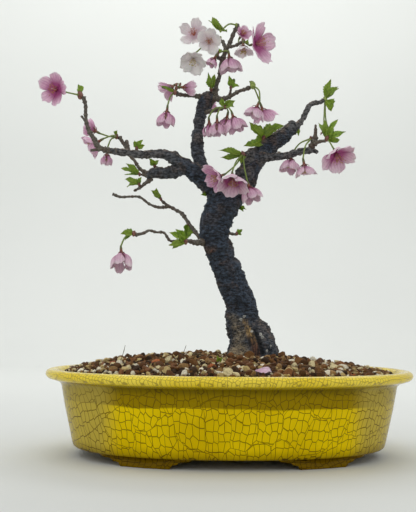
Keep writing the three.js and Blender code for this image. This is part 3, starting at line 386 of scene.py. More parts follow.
class Look:
    """A Principled material, painted in layers over a ground colour, with short ways to add nodes.

    Colours are 0-255 display values or the sockets of other nodes.
    """

    def __init__(self, name, ground=None, **sockets):
        self.material = bpy.data.materials.new(name)
        self.material.use_nodes = True
        self.tree = self.material.node_tree
        self.shader = self.tree.nodes["Principled BSDF"]
        self.feed(self.shader, {key.replace("_", " "): value for key, value in sockets.items()})
        self.color = ground
        self.place = self.node("TexCoord").outputs["Object"]

    def feed(self, node, sockets):
        for key, value in sockets.items():
            if isinstance(value, bpy.types.NodeSocket):
                self.tree.links.new(value, node.inputs[key])
            else:
                node.inputs[key].default_value = value

    def node(self, kind, sockets=None, **settings):
        made = self.tree.nodes.new("ShaderNode" + kind)
        for key, value in settings.items():
            setattr(made, key, value)
        self.feed(made, sockets or {})
        return made

    def value(self, name):
        return self.node("Attribute", attribute_name=name).outputs["Fac"]

    def noise(self, scale, detail=3.0, roughness=0.55, vector=None):
        sockets = {"Vector": vector or self.place, "Scale": scale, "Detail": detail, "Roughness": roughness}
        return self.node("TexNoise", sockets).outputs["Fac"]

    def cells(self, vector, scale, randomness=1.0, **settings):
        sockets = {"Vector": vector, "Scale": scale, "Randomness": randomness}
        return self.node("TexVoronoi", sockets, **settings).outputs

    def parts(self, vector):
        return self.node("SeparateXYZ", {"Vector": vector}).outputs

    def vector(self, operation, a, b):
        return self.node("VectorMath", {0: a, 1: b}, operation=operation).outputs[0]

    def math(self, operation, *values):
        return self.node("Math", dict(enumerate(values)), operation=operation).outputs[0]

    def plus(self, a, b):
        return self.math("ADD", a, b)

    def times(self, a, b):
        return self.math("MULTIPLY", a, b)

    def most(self, a, b):
        return self.math("MAXIMUM", a, b)

    def span(self, value, low, high, to_low=0.0, to_high=1.0):
        """The value mapped from low..high to the two ends, held there outside."""
        sockets = {"Value": value, "From Min": low, "From Max": high, "To Min": to_low, "To Max": to_high}
        return self.node("MapRange", sockets, interpolation_type="SMOOTHSTEP").outputs["Result"]

    def mix(self, factor, a, b, blend="MIX"):
        made = self.node("Mix", data_type="RGBA", blend_type=blend)
        a, b = (linear(side) if isinstance(side, tuple) else side for side in (a, b))
        self.feed(made, {0: factor, 6: a, 7: b})
        return made.outputs[2]

    def lay(self, color, value, *ends, blend="MIX"):
        """Lays a colour over the others, by a value or by its span between the ends."""
        self.color = self.mix(self.span(value, *ends) if ends else value, self.color, color, blend)

    def ramp(self, factor, stops):
        made = self.node("ValToRGB", {"Fac": factor})
        elements = made.color_ramp.elements
        while len(elements) < len(stops):
            elements.new(0.5)
        for element, (position, color) in zip(elements, stops):
            element.position = position
            element.color = linear(color)
        return made

    def cracks(self, run, bend, coarse, fine, amount):
        """Cracks in a map in metres: wide old cells, each filled with later cracks at its own slant."""
        drift = self.node("TexNoise", {"Vector": run, "Scale": 62.0, "Detail": 1.0}).outputs["Color"]
        bent = self.vector("ADD", run, self.vector("MULTIPLY", drift, (bend, bend, 0.0)))
        edge = {"voronoi_dimensions": "2D", "feature": "DISTANCE_TO_EDGE"}
        first = self.cells(bent, coarse, 0.85, **edge)["Distance"]
        cell = self.cells(bent, coarse, 0.85, voronoi_dimensions="2D")["Color"]
        lean = self.math("MULTIPLY_ADD", self.parts(cell)["X"], 0.6, -0.3)
        sockets = {"Vector": self.vector("ADD", bent, cell), "Angle": lean}
        moved = self.node("VectorRotate", sockets, rotation_type="Z_AXIS").outputs[0]
        later = self.cells(moved, fine, 0.42, **edge)["Distance"]
        old = self.span(first, 0.0001 * coarse, 0.00036 * coarse, 0.85, 0.0)
        new = self.span(later, 0.00014 * fine, 0.00044 * fine, 1.0, 0.0)
        return self.times(self.most(old, new), amount)

    def finish(self, roughness, height=None, distance=0.0, strength=1.0):
        sockets = {"Base Color": self.color, "Roughness": roughness}
        if height is not None:
            relief = {"Height": height, "Distance": distance, "Strength": strength}
            sockets["Normal"] = self.node("Bump", relief).outputs["Normal"]
        self.feed(self.shader, sockets)
        return self.material


# ---- tray ----

OVAL_POWER = 2.2
RIM_HALF = (180, 134)
# Each level of the glazed skin as [how far inside the rim's nose, height].
OUTSIDE = [[31, 8.8], [29, 9.1], [27.6, 10.4], [26.7, 12.6], [26.2, 15], [22.6, 31], [18.8, 48], [16.6, 60],
           [15.5, 66.4], [14.6, 69], [12.2, 71.2], [9, 72.4], [5.5, 73.4], [2.8, 74.3], [1.2, 75.6],
           [0.2, 77.2], [0, 78.6], [0.4, 80.2], [1.5, 81.6], [3.2, 82.5], [5.2, 82.8]]
INSIDE = [[8.5, 82.7], [10.8, 82], [12.4, 80.6], [14, 78], [17, 72], [33, 22], [36, 17.6], [41, 16]]
RIM_FOOT, FLOOR = 71.5, 20
DRAIN_SPACING, DRAIN_RADIUS, DRAIN_CUT = 75, 12, 24
ROUND = 240  # points round the tray
GLAZE_MAP, FLOOR_RUN = "glaze_run", 150
# A cloud foot from its inner to its outer end, as [distance along, height].
FOOT = [[38, 8.2], [41, 7], [47, 6.6], [49.5, 5.6], [50.5, 4.4], [53.5, 3.9], [55.5, 3.2], [56.4, 1.2],
        [58, 0], [79, 0], [101, 0], [102.4, 1], [103.3, 3], [105.5, 3.7], [108.6, 4.2], [109.8, 5.6],
        [112, 6.6], [118, 7], [121, 8.2]]
FOOT_TOP, FOOT_DEPTH, FOOT_INSET, FOOT_LIP, FOOT_ROUND = 11, 15, 30.6, 3, 1.1


def superellipse(angle, inset):
    return [(half - inset) * np.sign(part) * np.abs(part) ** (2 / OVAL_POWER)
            for half, part in zip(RIM_HALF, (np.cos(angle), np.sin(angle)))]


def oval_share(x, y, halves):
    """How far out a place lies in an oval: 0 in its middle, 1 on its edge, more outside."""
    return abs(x / halves[0]) ** OVAL_POWER + abs(y / halves[1]) ** OVAL_POWER


def rim_run():
    """Angles round the rim from the middle of its back, and how far along it each lies."""
    angle = np.linspace(0.5 * math.pi, 2.5 * math.pi, 4001)
    x, y = superellipse(angle, 0)
    return angle, np.concatenate([[0], np.cumsum(np.hypot(np.diff(x), np.diff(y)))])


RIM_ANGLE, RIM_RUN = rim_run()


def oval(inset, height):
    """A level of the tray: points spaced evenly round a superellipse."""
    even = np.interp(np.arange(ROUND) / ROUND * RIM_RUN[-1], RIM_RUN, RIM_ANGLE)
    x, y = superellipse(even, inset)
    return np.column_stack([x, y, np.full(ROUND, float(height))])


def lay_glaze_map(mesh):
    """A UV map in metres: round the tray, and up its wall or across its floor."""
    x, y, z = (numbers(mesh.vertices, "co", 3) / MM).T
    share = oval_share(x, y, RIM_HALF) ** (1 / OVAL_POWER)
    legs = [np.sign(leg) * np.abs(leg / half) ** (OVAL_POWER / 2) for leg, half in zip((x, y), RIM_HALF)]
    angle = (np.arctan2(legs[1], legs[0]) - 0.5 * math.pi) % (2 * math.pi) + 0.5 * math.pi
    run = np.interp(angle, RIM_ANGLE, RIM_RUN)
    corner = numbers(mesh.loops, "vertex_index", 1, np.int32)
    flat = np.column_stack([run, z + FLOOR_RUN * (1 - share)])[corner]
    for start, total in zip(numbers(mesh.polygons, "loop_start", 1, np.int32),
                            numbers(mesh.polygons, "loop_total", 1, np.int32)):
        own = flat[start:start + total, 0]
        if own.max() - own.min() > RIM_RUN[-1] / 2:
            own[own < RIM_RUN[-1] / 2] += RIM_RUN[-1]
    mesh.uv_layers.new(name=GLAZE_MAP).uv.foreach_set("vector", (flat * MM).ravel())


def foot(sign_x, sign_y):
    """A cloud foot whose face follows the lower edge of the tray, rounded along its outline."""
    outline = np.array(FOOT + [[FOOT[-1][0], FOOT_TOP], [FOOT[0][0], FOOT_TOP]], float)
    inward = outline.mean(axis=0) - outline
    inward /= np.linalg.norm(inward, axis=1)[:, None]
    rim_x, rim_y = (half - FOOT_INSET + FOOT_LIP for half in RIM_HALF)
    rounding = [[0, FOOT_ROUND], [0.35, 0.45], [FOOT_ROUND, 0], [FOOT_DEPTH - FOOT_ROUND, 0],
                [FOOT_DEPTH, FOOT_ROUND]]
    rings = []
    for depth, shrink in rounding:
        flat = outline + inward * shrink
        flat[:, 1] = np.maximum(flat[:, 1], np.where(outline[:, 1] == 0, shrink * 0.7, 0))
        face = rim_y * (1 - (flat[:, 0] / rim_x) ** OVAL_POWER) ** (1 / OVAL_POWER) - FOOT_LIP
        rings.append(np.column_stack([sign_x * flat[:, 0], sign_y * (face - depth), flat[:, 1]]))
    points, faces = capped(rings, rings[0].mean(axis=0), rings[-1].mean(axis=0))
    return points, faces if sign_x * sign_y < 0 else faces[:, ::-1]


def drilled(thing):
    """Cuts the two drain holes through a thing's mesh."""
    bores = Piece("bores", "glaze", [])
    for x in (-DRAIN_SPACING, DRAIN_SPACING):
        bores.add(tube([[x, 0, 0, DRAIN_RADIUS], [x, 0, DRAIN_CUT, DRAIN_RADIUS]], 40, DRAIN_CUT, dome=0))
    cutter = added("bores", bores.mesh())
    cut = thing.modifiers.new("drains", "BOOLEAN")
    cut.operation, cut.solver, cut.object = "DIFFERENCE", "EXACT", cutter
    whole = modified(thing)
    thing.modifiers.clear()
    thing.data = whole
    bpy.data.objects.remove(cutter)


def build_tray(wall, rim):
    tray = Piece("tray", "glaze", [wall, rim], "pot")
    points, faces = capped([oval(*level) for level in OUTSIDE + INSIDE],
                           [0, 0, OUTSIDE[0][1]], [0, 0, INSIDE[-1][1]])
    on_rim = (points[faces, 2].mean(axis=1) > RIM_FOOT) & (points[faces, 2].min(axis=1) > FLOOR)
    tray.add((points, faces), on_rim)
    for sign_x in (-1, 1):
        for sign_y in (-1, 1):
            tray.add(foot(sign_x, sign_y))
    thing = tray.build()
    drilled(thing)
    lay_glaze_map(thing.data)


# ---- soil ----

SOIL_EDGE, SOIL_RISE, SOIL_SKEW = 79.5, 15, 0.0018
SOIL_HALF, SOIL_GAP = (162.2, 116.2), 0.8
GRID = 3.3  # how far apart the grains lie
GRANULES = 3  # pieces that the grains are shared among
CAST_FROM = Vector((0, 0, 0.2))  # in metres, above all of the soil
FALLEN_AT, FALLEN_REACH = (24, -98), 13  # where the grains lie low, under the fallen petal
LITTER = [
    [[-104, -60, 93, 0.35], [-101.5, -60, 100, 0.3], [-100, -60, 107, 0.2]],
    [[-48, -70, 96, 0.4], [-45.6, -70, 102, 0.35], [-43.8, -70.5, 107.5, 0.2]],
    [[-38, -62, 98.5, 1], [-33, -64, 99.4, 0.9], [-27, -63, 98, 0.5]],
    [[-35, -66, 100, 0.8], [-33.6, -67, 102.6, 0.4]],
    [[60, -84, 90, 0.5], [66, -86, 90.2, 0.45], [71, -84.6, 89, 0.3]],
    [[-96, 30, 92, 0.5], [-84, 34, 93, 0.5], [-76, 33, 93.4, 0.35]],
    [[52, 58, 93, 0.5], [61, 66, 92, 0.4], [66, 75, 90, 0.3]],
    [[112, -30, 88.6, 0.6], [119, -24, 88.8, 0.5], [124, -25, 87.6, 0.3]],
]
SEEDLING = [-14, -84, 93.5]
SEEDLING_TIPS = [[-16, -88, 99], [-12, -90, 97.5]]


def icosphere():
    """Points and faces of a ball of radius 1 with 80 faces."""
    gold = (1 + 5 ** 0.5) / 2
    points = [[-1, gold, 0], [1, gold, 0], [-1, -gold, 0], [1, -gold, 0], [0, -1, gold], [0, 1, gold],
              [0, -1, -gold], [0, 1, -gold], [gold, 0, -1], [gold, 0, 1], [-gold, 0, -1], [-gold, 0, 1]]
    faces = [[0, 11, 5], [0, 5, 1], [0, 1, 7], [0, 7, 10], [0, 10, 11], [1, 5, 9], [5, 11, 4],
             [11, 10, 2], [10, 7, 6], [7, 1, 8], [3, 9, 4], [3, 4, 2], [3, 2, 6], [3, 6, 8],
             [3, 8, 9], [4, 9, 5], [2, 4, 11], [6, 2, 10], [8, 6, 7], [9, 8, 1]]
    points = [unit(point) for point in points]
    halves, finer = {}, []

    def half(a, b):
        key = (min(a, b), max(a, b))
        if key not in halves:
            halves[key] = len(points)
            points.append(unit(points[a] + points[b]))
        return halves[key]

    for a, b, c in faces:
        ab, bc, ca = half(a, b), half(b, c), half(c, a)
        finer += [[a, ab, ca], [b, bc, ab], [c, ca, bc], [ab, bc, ca]]
    return np.array(points), np.array(finer)


BALL, BALL_FACES = icosphere()


def pebble(seed, size):
    """The points of a broken, faceted grain round the origin."""
    points = BALL.copy()
    for k in range(9):
        cut = unit([jitter(seed, 3 * k + 11), jitter(seed, 3 * k + 12), jitter(seed, 3 * k + 13)])
        over = np.maximum(points @ cut - 0.4 - 0.38 * abs(jitter(seed, k + 60)), 0)
        points -= np.outer(over * 0.95, cut)
    squash = 1 + 0.36 * np.array([jitter(seed, 71), jitter(seed, 72), jitter(seed, 73)])
    return points * squash * size * 1.28


def turned(seed):
    """A repeatable rotation."""
    about_x, about_y, about_z = (Matrix.Rotation(math.pi * jitter(seed, k), 3, axis)
                                 for k, axis in ((81, "X"), (82, "Y"), (83, "Z")))
    return np.array(about_x @ about_y @ about_z)


def soil_top(x, y):
    share = oval_share(x, y, [half + SOIL_GAP for half in SOIL_HALF])
    return SOIL_EDGE + SOIL_RISE * (1 - min(share, 1)) * (1 - SOIL_SKEW * x)


def build_granules(look):
    """Loose grains over the soil, in several pieces: coarser right of the middle, finer near both ends."""
    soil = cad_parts["soil"].data
    bed = BVHTree.FromPolygons([v.co[:] for v in soil.vertices], [p.vertices[:] for p in soil.polygons])
    piles = [Piece(f"granules_{k + 1}", "soil", [look], smooth=False) for k in range(GRANULES)]
    columns, rows = (int(half / GRID) + 1 for half in SOIL_HALF)
    for column in range(-columns, columns + 1):
        along = column * GRID
        chunky = 1 + 0.25 * math.exp(-((along - 60) / 45) ** 2) - 0.3 * (abs(along + 10) > 115)
        for row in range(-rows, rows + 1):
            seed = 400 + column * 131 + row
            radius = 1.0 + 2.9 * chunky * (0.5 + 0.5 * jitter(seed, 1)) ** 2.8
            x = (column + 0.5 * (row % 2) + 0.42 * jitter(seed, 2)) * GRID
            y = (row + 0.42 * jitter(seed, 3)) * GRID
            hit = bed.ray_cast(CAST_FROM + Vector((x * MM, y * MM, 0)), Vector((0, 0, -1)))[0]
            over_edge = oval_share(x, y, [half - radius for half in SOIL_HALF]) > 1
            if over_edge or hit is None or hit.z / MM < soil_top(x, y) - 4:
                continue
            under_petal = math.hypot(x - FALLEN_AT[0], y - FALLEN_AT[1]) < FALLEN_REACH
            raised = -0.75 if under_petal else 0.15 + 0.4 * jitter(seed, 4)
            points = pebble(seed, radius) @ turned(seed).T + np.array([x, y, hit.z / MM + raised * radius])
            piles[seed % GRANULES].add((points, BALL_FACES), tone=0.5 + 0.5 * jitter(seed, 5),
                                       shade=jitter(seed, 6))
    for pile in piles:
        pile.build()


def build_litter(dry, fresh):
    """Dry twigs, chips of bark and a seedling leaf that lie on the soil."""
    litter = Piece("litter", "soil", [dry, fresh])
    for line in LITTER:
        litter.add(tube(line, 7, 1.5, knobs=0.25, seed=int(line[0][0])))
    for tip in SEEDLING_TIPS:
        blade = leaf_blade(SEEDLING, tip, 3, 0.5, 900 + tip[0], thickness=0.1)[0]
        litter.add(blade, look=1, along=0.5, across=0.3)
    litter.build()


# ---- wood ----

VOXEL = 0.9
OLD_TWIG = 2.8  # twigs that are thicker than this on average have old bark
BARK_SEED = 5
# Marks on the bark, as lines or points on it.
SCAR = [[15, -15, 130], [19, -17, 119], [23, -19, 109], [26, -20, 98]]
GROOVES = [[[12, -15, 132], [14, -17, 124], [19, -19, 107]],
           [[17, -14, 132], [24, -15, 124], [28, -17, 114], [32, -18, 99]]]
WEATHERED = [[-3, -15, 131], [5, -17, 119], [-3, -15, 107], [8, -18, 100]]
SPECKS = [[30, -15, 118], [31.5, -15, 114], [40, -13, 106], [36, -16, 101], [20, -18, 121], [10, -15, 131],
          [15, -15, 134]]
SPOTS = [[-19, -16, 198], [22, -12, 307], [31, -10, 309], [13, -12, 296]]
HOLLOWS = [[40, -6, 127]]
SWELLINGS = [[25, -6, 143]]


def limb_frames(limbs):
    """Every limb as samples [place, radius, side, other, run along it], 1 mm apart."""
    rows = []
    for number, limb in enumerate(limbs):
        line = smooth_line(limb, 1.0)
        run, last = 61.7 * number, line[0, :3]
        for row, (_, side, other) in zip(line, framed(line)):
            run += np.linalg.norm(row[:3] - last)
            last = row[:3]
            rows.append([*row, *side, *other, run])
    return np.array(rows)


def nearest_limb(places, frames):
    """For each place its coordinates round and along the limb that carries it, and that limb's radius."""
    tree = KDTree(len(frames))
    for index, row in enumerate(frames):
        tree.insert(row[:3], index)
    tree.balance()
    found = np.empty((len(places), 4))
    for k, place in enumerate(places):
        best = min(tree.find_n(place, 8), key=lambda hit: hit[2] / frames[hit[1], 3])
        row = frames[best[1]]
        away = place - row[:3]
        found[k] = away.dot(row[4:7]), away.dot(row[7:10]), row[10], row[3]
    return found


def remeshed(shapes):
    """One even skin round all the shapes: its points, normals and faces."""
    rough = Piece("rough", "bark", [])
    for shape in shapes:
        rough.add(shape)
    thing = added("rough", rough.mesh())
    skin = thing.modifiers.new("skin", "REMESH")
    skin.mode, skin.voxel_size = "VOXEL", VOXEL * MM
    soften = thing.modifiers.new("soften", "SMOOTH")
    soften.factor, soften.iterations = 0.5, 5
    even = modified(thing)
    even.calc_loop_triangles()
    bpy.data.objects.remove(thing)
    return (numbers(even.vertices, "co", 3) / MM, numbers(even.vertices, "normal", 3),
            numbers(even.loop_triangles, "vertices", 3, np.int32))


def near_line(places, line, reach):
    """1 on the line, falling to 0 at the reach."""
    gaps = np.full(len(places), np.inf)
    for a, b in zip(np.array(line[:-1], float), np.array(line[1:], float)):
        share = np.clip((places - a) @ (b - a) / (b - a).dot(b - a), 0, 1)
        gaps = np.minimum(gaps, np.linalg.norm(places - a - np.outer(share, b - a), axis=1))
    return 1 - smoothstep(0.3 * reach, reach, gaps)


def near_points(places, marks, reach):
    """1 at the marks, falling to 0 at the reach."""
    gaps = np.min([np.linalg.norm(places - np.array(mark), axis=1) for mark in marks], axis=0)
    return 1 - smoothstep(0.35 * reach, reach, gaps)


def bark_relief(u, v, run):
    """The bark's plates, rings, lumps, fine grain and knobs at a place round and along a limb."""

    def waves(wide, long, roughness, depth):
        return noise.fractal(Vector((u / wide, v / wide, run / long)), roughness, 2.1, depth)

    warp = noise.noise_vector(Vector((u / 7, v / 7, run / 6)))
    edge = noise.voronoi(Vector((u / 8.5, v / 8.5, run / 4.4)) + 0.7 * warp)[0]
    middle, cells = noise.voronoi(Vector((u / 5, v / 5, run / 4.5)) + 0.2 * warp)
    knob = max(0.0, 1 - middle[0] / 0.48) * max(0.0, noise.cell(cells[0] * 7.3) - 0.45) / 0.55
    return edge[1] - edge[0], waves(26, 5, 0.9, 3), waves(10, 8, 0.9, 3), waves(3, 1.5, 0.8, 2), knob


def build_trunk(look):
    noise.seed_set(BARK_SEED)  # otherwise noise vectors differ from run to run
    limbs = [TRUNK] + BRANCHES + ROOTS + [limb for limb in TWIGS if is_barked(limb)]
    places, normals, faces = remeshed([tube(limb, 28, 1.6) for limb in limbs])
    local = nearest_limb(places, limb_frames(limbs))
    radius = local[:, 3]
    plates, rings, lumps, fine, knobs = np.array([bark_relief(*row[:3]) for row in local]).T
    plates = smoothstep(0.0, 0.22, plates)
    scale = np.clip(0.45 + radius / 20, 0.5, 1.05)
    front = places[:, 1] < -4
    scar = near_line(places, SCAR, 6.5) * front
    sunk = np.max([near_line(places, line, 3.2) for line in GROOVES], axis=0) * front
    rough = (0.6 - 0.3 * scale) * plates + 1.0 * rings + 1.5 * lumps + 1.2 * fine + 2.3 * knobs - 0.5
    push = (1 - 0.7 * scar) * rough * scale - 1.2 * scar - 2.8 * sunk
    push = push + 2.6 * near_points(places, SWELLINGS, 15) - 3.0 * near_points(places, HOLLOWS, 13)
    places = places + normals * push[:, None]
    specks = [places[np.argmin(np.linalg.norm(places - mark, axis=1))] for mark in SPECKS]
    trunk = Piece("trunk", "bark", [look], "wood")
    # upper is how far each point faces up; the bark uses it for a painted highlight on top faces.
    trunk.add((places, faces), plate=plates, lump=0.5 + 0.5 * (lumps + rings),
              thick=np.clip(radius / 16, 0, 1), scar=scar * (1 - sunk), sunk=sunk,
              speck=near_points(places, specks, 2.1), spot=near_points(places, SPOTS, 3),
              weathered=near_line(places, WEATHERED, 15) * (places[:, 1] < 2),
              upper=np.clip(normals[:, 2], 0, 1))
    trunk.build()


def is_barked(limb):
    """Whether a twig is old enough to carry rough bark."""
    return np.mean([point[3] for point in limb]) >= OLD_TWIG


def knotted(limb, seed):
    """A young twig: swollen where its buds and leaf scars sit."""
    line = smooth_line(limb, 1.1)
    run = np.concatenate([[0], np.cumsum(np.linalg.norm(np.diff(line[:, :3], axis=0), axis=1))])
    knots = np.cumsum([6.5 + 3 * jitter(seed, k) for k in range(60)]) - 3
    gap = np.min(np.abs(run[:, None] - knots[None, :]), axis=1)
    line[:, 3] *= 0.86 + 0.34 * np.exp(-(gap / 0.9) ** 2)
    return line


def build_twigs(look):
    twigs = Piece("twigs", "bark", [look], "wood")
    for number, limb in enumerate(TWIGS):
        if not is_barked(limb):
            twigs.add(tube(knotted(limb, number), 12, 50, knobs=0.1, seed=number * 17))
    twigs.build()


# ---- leaves, buds, stalks ----

LEAF, STALK, CALYX, BROWN_SCALE, GREEN_SCALE = range(5)  # the looks of a shoot
CALYX_LENGTH, CALYX_RADIUS, STALK_RADIUS, STALK_CURVE = 6.5, 1.7, 0.85, 7
# The flower cup from its stalk to its mouth, as [how far before the mouth, radius].
CUP = [[CALYX_LENGTH, STALK_RADIUS], [5.4, STALK_RADIUS * 1.3], [3.6, CALYX_RADIUS * 0.78],
       [1.8, CALYX_RADIUS * 0.8], [0.15, CALYX_RADIUS]]
# A bud's core from foot to tip, as shares of its height and of its girth.
BUD_CORE = [[-1, 0.55], [-0.4, 0.92], [0.2, 1], [0.7, 0.66], [1.1, 0.18]]
BUD_SCALES, LOBES = 5, 5
LEAF_START = 0.52  # where leaves and stalks start, as a share of the bud's radius
LEAF_ROWS, LEAF_COLUMNS = 17, 9
SPROUTS = [([-24, -6, 257], [[-30, -9, 256], [-27.5, -9, 261]]),
           ([9, -2, 245.5], [[12.5, -8, 240], [16, -5, 242.5]]),
           ([70, 23.5, 331.5], [[66.5, 20.5, 325], [72.5, 20.5, 324.5], [69.5, 18.5, 326]])]
SWOLLEN = {"leader_right_tip": 1.25, "left_tip": 1.25}
# Further buds beside the first one, as [x, y, z, radius] from it.
CLUSTERS = {"leader_left": [[1.5, -0.5, 4, 2.2], [-2, -1, 5.5, 1.7], [4.5, 0.5, 5.5, 1.9],
                            [1.5, -1, 7.5, 1.8], [5.5, 0, 8.5, 1.5]]}
GREEN_BUDS = ("leader_right_tip", "top_left", "top_tip", "right_tip")


def leaf_blade(bud, tip, width, start, index, thickness=0.3):
    """A young leaf, folded along its midrib, with forward-pointing teeth and a curling tip.

    Gives the shape, and how far along and across the blade each of its points lies.
    """
    bud = np.array(bud, float)
    along = np.array(tip, float) - bud
    length = np.linalg.norm(along)
    along /= length
    across = unit(np.cross(along, [0.5 * jitter(index, 3), -1, 0.4 + 0.4 * jitter(index, 5)]))
    normal = unit(np.cross(across, along))
    twist, sway = 0.7 * jitter(index, 18), 0.1 * length * jitter(index, 19)
    fold, curl = 0.32 + 0.08 * jitter(index, 11), 0.14 + 0.12 * jitter(index, 12)
    teeth = 6 if width >= 8 else 4
    grid = np.empty((LEAF_ROWS, LEAF_COLUMNS, 3))
    for row in range(LEAF_ROWS):
        t = row / (LEAF_ROWS - 1)
        share = start / length + (1 - start / length) * t
        girth = 0.14 + 0.95 * math.sin(math.pi * min(1, t * 0.86 + 0.1)) ** 0.85 * (1 - 0.35 * t)
        girth = max(girth * (1 - t ** 7), 0.02)
        flat = across * math.cos(twist * t) + normal * math.sin(twist * t)
        for column in range(LEAF_COLUMNS):
            s = 2 * column / (LEAF_COLUMNS - 1) - 1
            edge = abs(s) == 1
            tooth = (t * teeth * 2 + 0.3 * (s > 0)) % 1 if edge else 0
            lobe = 1 + 0.2 * math.sin(8 * t + 3 * jitter(index, 20 + (s > 0)))
            jut = (0.42 + 0.2 * jitter(index, row + 30)) * (1 - tooth) * edge * (0.12 < t < 0.95)
            reach = s * girth * lobe * (1 + jut)
            wave = 0.1 * math.sin(10 * t + 2.4 * jitter(index, 13) + s) * s * s
            rise = fold * abs(reach) ** 1.15 + wave
            grid[row, column] = (bud + along * share * length
                                 + flat * reach * width / 2 + across * sway * math.sin(math.pi * t)
                                 + normal * (rise * width - curl * length * (t - 0.35) ** 2))
    lines, cross = np.arange(LEAF_ROWS)[:, None] / (LEAF_ROWS - 1), np.linspace(-1, 1, LEAF_COLUMNS)
    size = grid.shape[:2]
    return sheet(grid, normal, thickness), both_faces(lines, size), both_faces(cross, size)


def add_leaf(piece, bud, tip, width, start, index):
    shape, lines, cross = leaf_blade(bud, tip, width, start, index)
    piece.add(shape, LEAF, along=lines, across=cross, tone=jitter(index, 14))


def add_bud(piece, look, place, radius, seed):
    """A pointed bud clasped by a few overlapping scales."""
    place = np.array(place, float)
    tall, girth = radius * 0.95, radius * 0.8
    core = [[*(place + UP * tall * rise), girth * wide] for rise, wide in BUD_CORE]
    piece.add(tube(core, 12, radius * 0.25, knobs=0.06, seed=seed), look, along=0.2)
    for k in range(BUD_SCALES):
        turn = 2 * math.pi * (k / BUD_SCALES + 0.3 * jitter(seed, 16))
        out = np.array([math.cos(turn), math.sin(turn), 0])
        low = place + out * girth * 0.75 - UP * tall * (0.75 - 0.1 * k)
        high = place + out * girth * 0.7 + UP * tall * (0.55 + 0.16 * k)
        middle = (low + high) / 2 + out * girth * 0.42
        wide = np.cross(out, UP) * girth * 0.62
        rows = np.linspace(0, 1, 6)
        grid = np.array([[(1 - t) ** 2 * low + 2 * t * (1 - t) * middle + t * t * high
                          + wide * s * math.sin(math.pi * (0.18 + 0.8 * t)) ** 0.8
                          - out * girth * 0.35 * s * s for s in (-1, -0.5, 0, 0.5, 1)] for t in rows])
        piece.add(sheet(grid, out, 0.25), look, along=both_faces(rows[:, None], grid.shape[:2]))


def stalk_line(bud, at, facing, reach):
    """Where a flower stalk leaves its bud, bends and meets the blossom, and which way that faces."""
    facing = unit(facing)
    mouth, start = np.array(at, float), np.array(bud, float)
    spare = np.linalg.norm(mouth - start) - 2 * CALYX_LENGTH
    bend = start + (mouth - facing * (CALYX_LENGTH + min(max(spare, 0), STALK_CURVE)) - start) * 0.62
    return start + unit(bend - start) * reach, bend, mouth, facing


def add_calyx(piece, mouth, facing, spread, seed):
    """A slender flower cup whose five pointed lobes lie along the backs of the petals."""
    points, faces = tube([[*(mouth - facing * before), radius] for before, radius in CUP], 12, 0.7, dome=0.1)
    piece.add((points, faces), CALYX, along=1 + (points - mouth) @ facing / CALYX_LENGTH)
    for k in range(LOBES):
        out = spoke(facing, 2 * math.pi * (k + 0.5) / LOBES + jitter(seed, 9))
        side = np.cross(facing, out)
        lie = out * math.sin(spread) + facing * math.cos(spread)
        off = out * math.cos(spread) - facing * math.sin(spread)
        grid = np.array([[mouth + out * 0.9 + lie * 4.6 * t + off * (0.5 + 1.1 * math.sin(math.pi * t) * 0.6)
                          + side * s * 1.15 * (1 - t ** 2) - off * 0.3 * s * s
                          for s in (-1, 0, 1)] for t in np.linspace(0, 1, 7)])
        piece.add(sheet(grid, -off, 0.22), CALYX, along=1)


def add_spent(piece, bud, bend, end, number, index):
    """A stalk whose petals have dropped: its calyx still holds a brush of threads."""
    bend, end = np.array(bend, float), np.array(end, float)
    facing = unit(end - bend)
    route = [[*bud, STALK_RADIUS], [*bend, STALK_RADIUS * 0.85], [*(end - facing * 4), STALK_RADIUS]]
    piece.add(tube(route, 8, 1.2), STALK)
    add_calyx(piece, end, facing, 1.1, number * 5 + index + 3)
    for k in range(7):
        turn = 2 * math.pi * k / 7
        lean = unit(np.cross(facing, UP + 0.01)) * math.cos(turn)
        lean = lean + np.cross(facing, lean) * math.sin(turn) * 0.8
        tip = end + facing * (2.6 + jitter(number, k)) + lean * 1.4
        piece.add(tube([[*(end - facing), 0.16], [*tip, 0.12]], 5, 2), CALYX, along=0.9)


def build_sprouts(look):
    """Tiny leaves that have broken straight from the old bark."""
    piece = Piece("sprouts", "shoot", [look])
    for number, (root, tips) in enumerate(SPROUTS):
        for index, tip in enumerate(tips):
            add_leaf(piece, root, tip, 3.4, 0, 300 + 5 * number + index)
    piece.build()


def build_shoots(*looks):
    for number, (name, (base, leaves, blossoms)) in enumerate(SHOOTS.items()):
        piece = Piece(f"growth_{name}", "shoot", looks, f"shoot_{name}")
        *bud, radius = base
        husk = GREEN_SCALE if name in GREEN_BUDS else BROWN_SCALE
        add_bud(piece, husk, bud, radius * SWOLLEN.get(name, 1), number * 7)
        for k, (*offset, size) in enumerate(CLUSTERS.get(name, [])):
            add_bud(piece, husk, np.add(bud, offset), size, 700 + k)
        crown = bud
        if name in RAISED:
            crown = RAISED[name][-1]
            route = [[*point, STALK_RADIUS] for point in [bud, *RAISED[name]]]
            piece.add(tube(route, 8, 1.2, knobs=0.05), STALK)
            add_bud(piece, GREEN_SCALE, crown, radius * 0.85, number * 7 + 3)
        for index, (*tip, width) in enumerate(leaves):
            add_leaf(piece, crown, tip, width, radius * LEAF_START, number * 7 + index)
        for index, (at, facing, opening, _) in enumerate(blossoms):
            start, bend, mouth, facing = stalk_line(bud, at, facing, radius * LEAF_START)
            end = mouth - facing * (CALYX_LENGTH - 0.3)
            route = [[*start, STALK_RADIUS * 1.1], [*bend, STALK_RADIUS * 0.85], [*end, STALK_RADIUS]]
            piece.add(tube(route, 8, 1.2), STALK)
            add_calyx(piece, mouth, facing, math.radians(opening), number * 5 + index)
        for index, (bend, end) in enumerate(SPENT.get(name, [])):
            add_spent(piece, bud, bend, end, number, index)
        piece.build()


# ---- blossoms ----

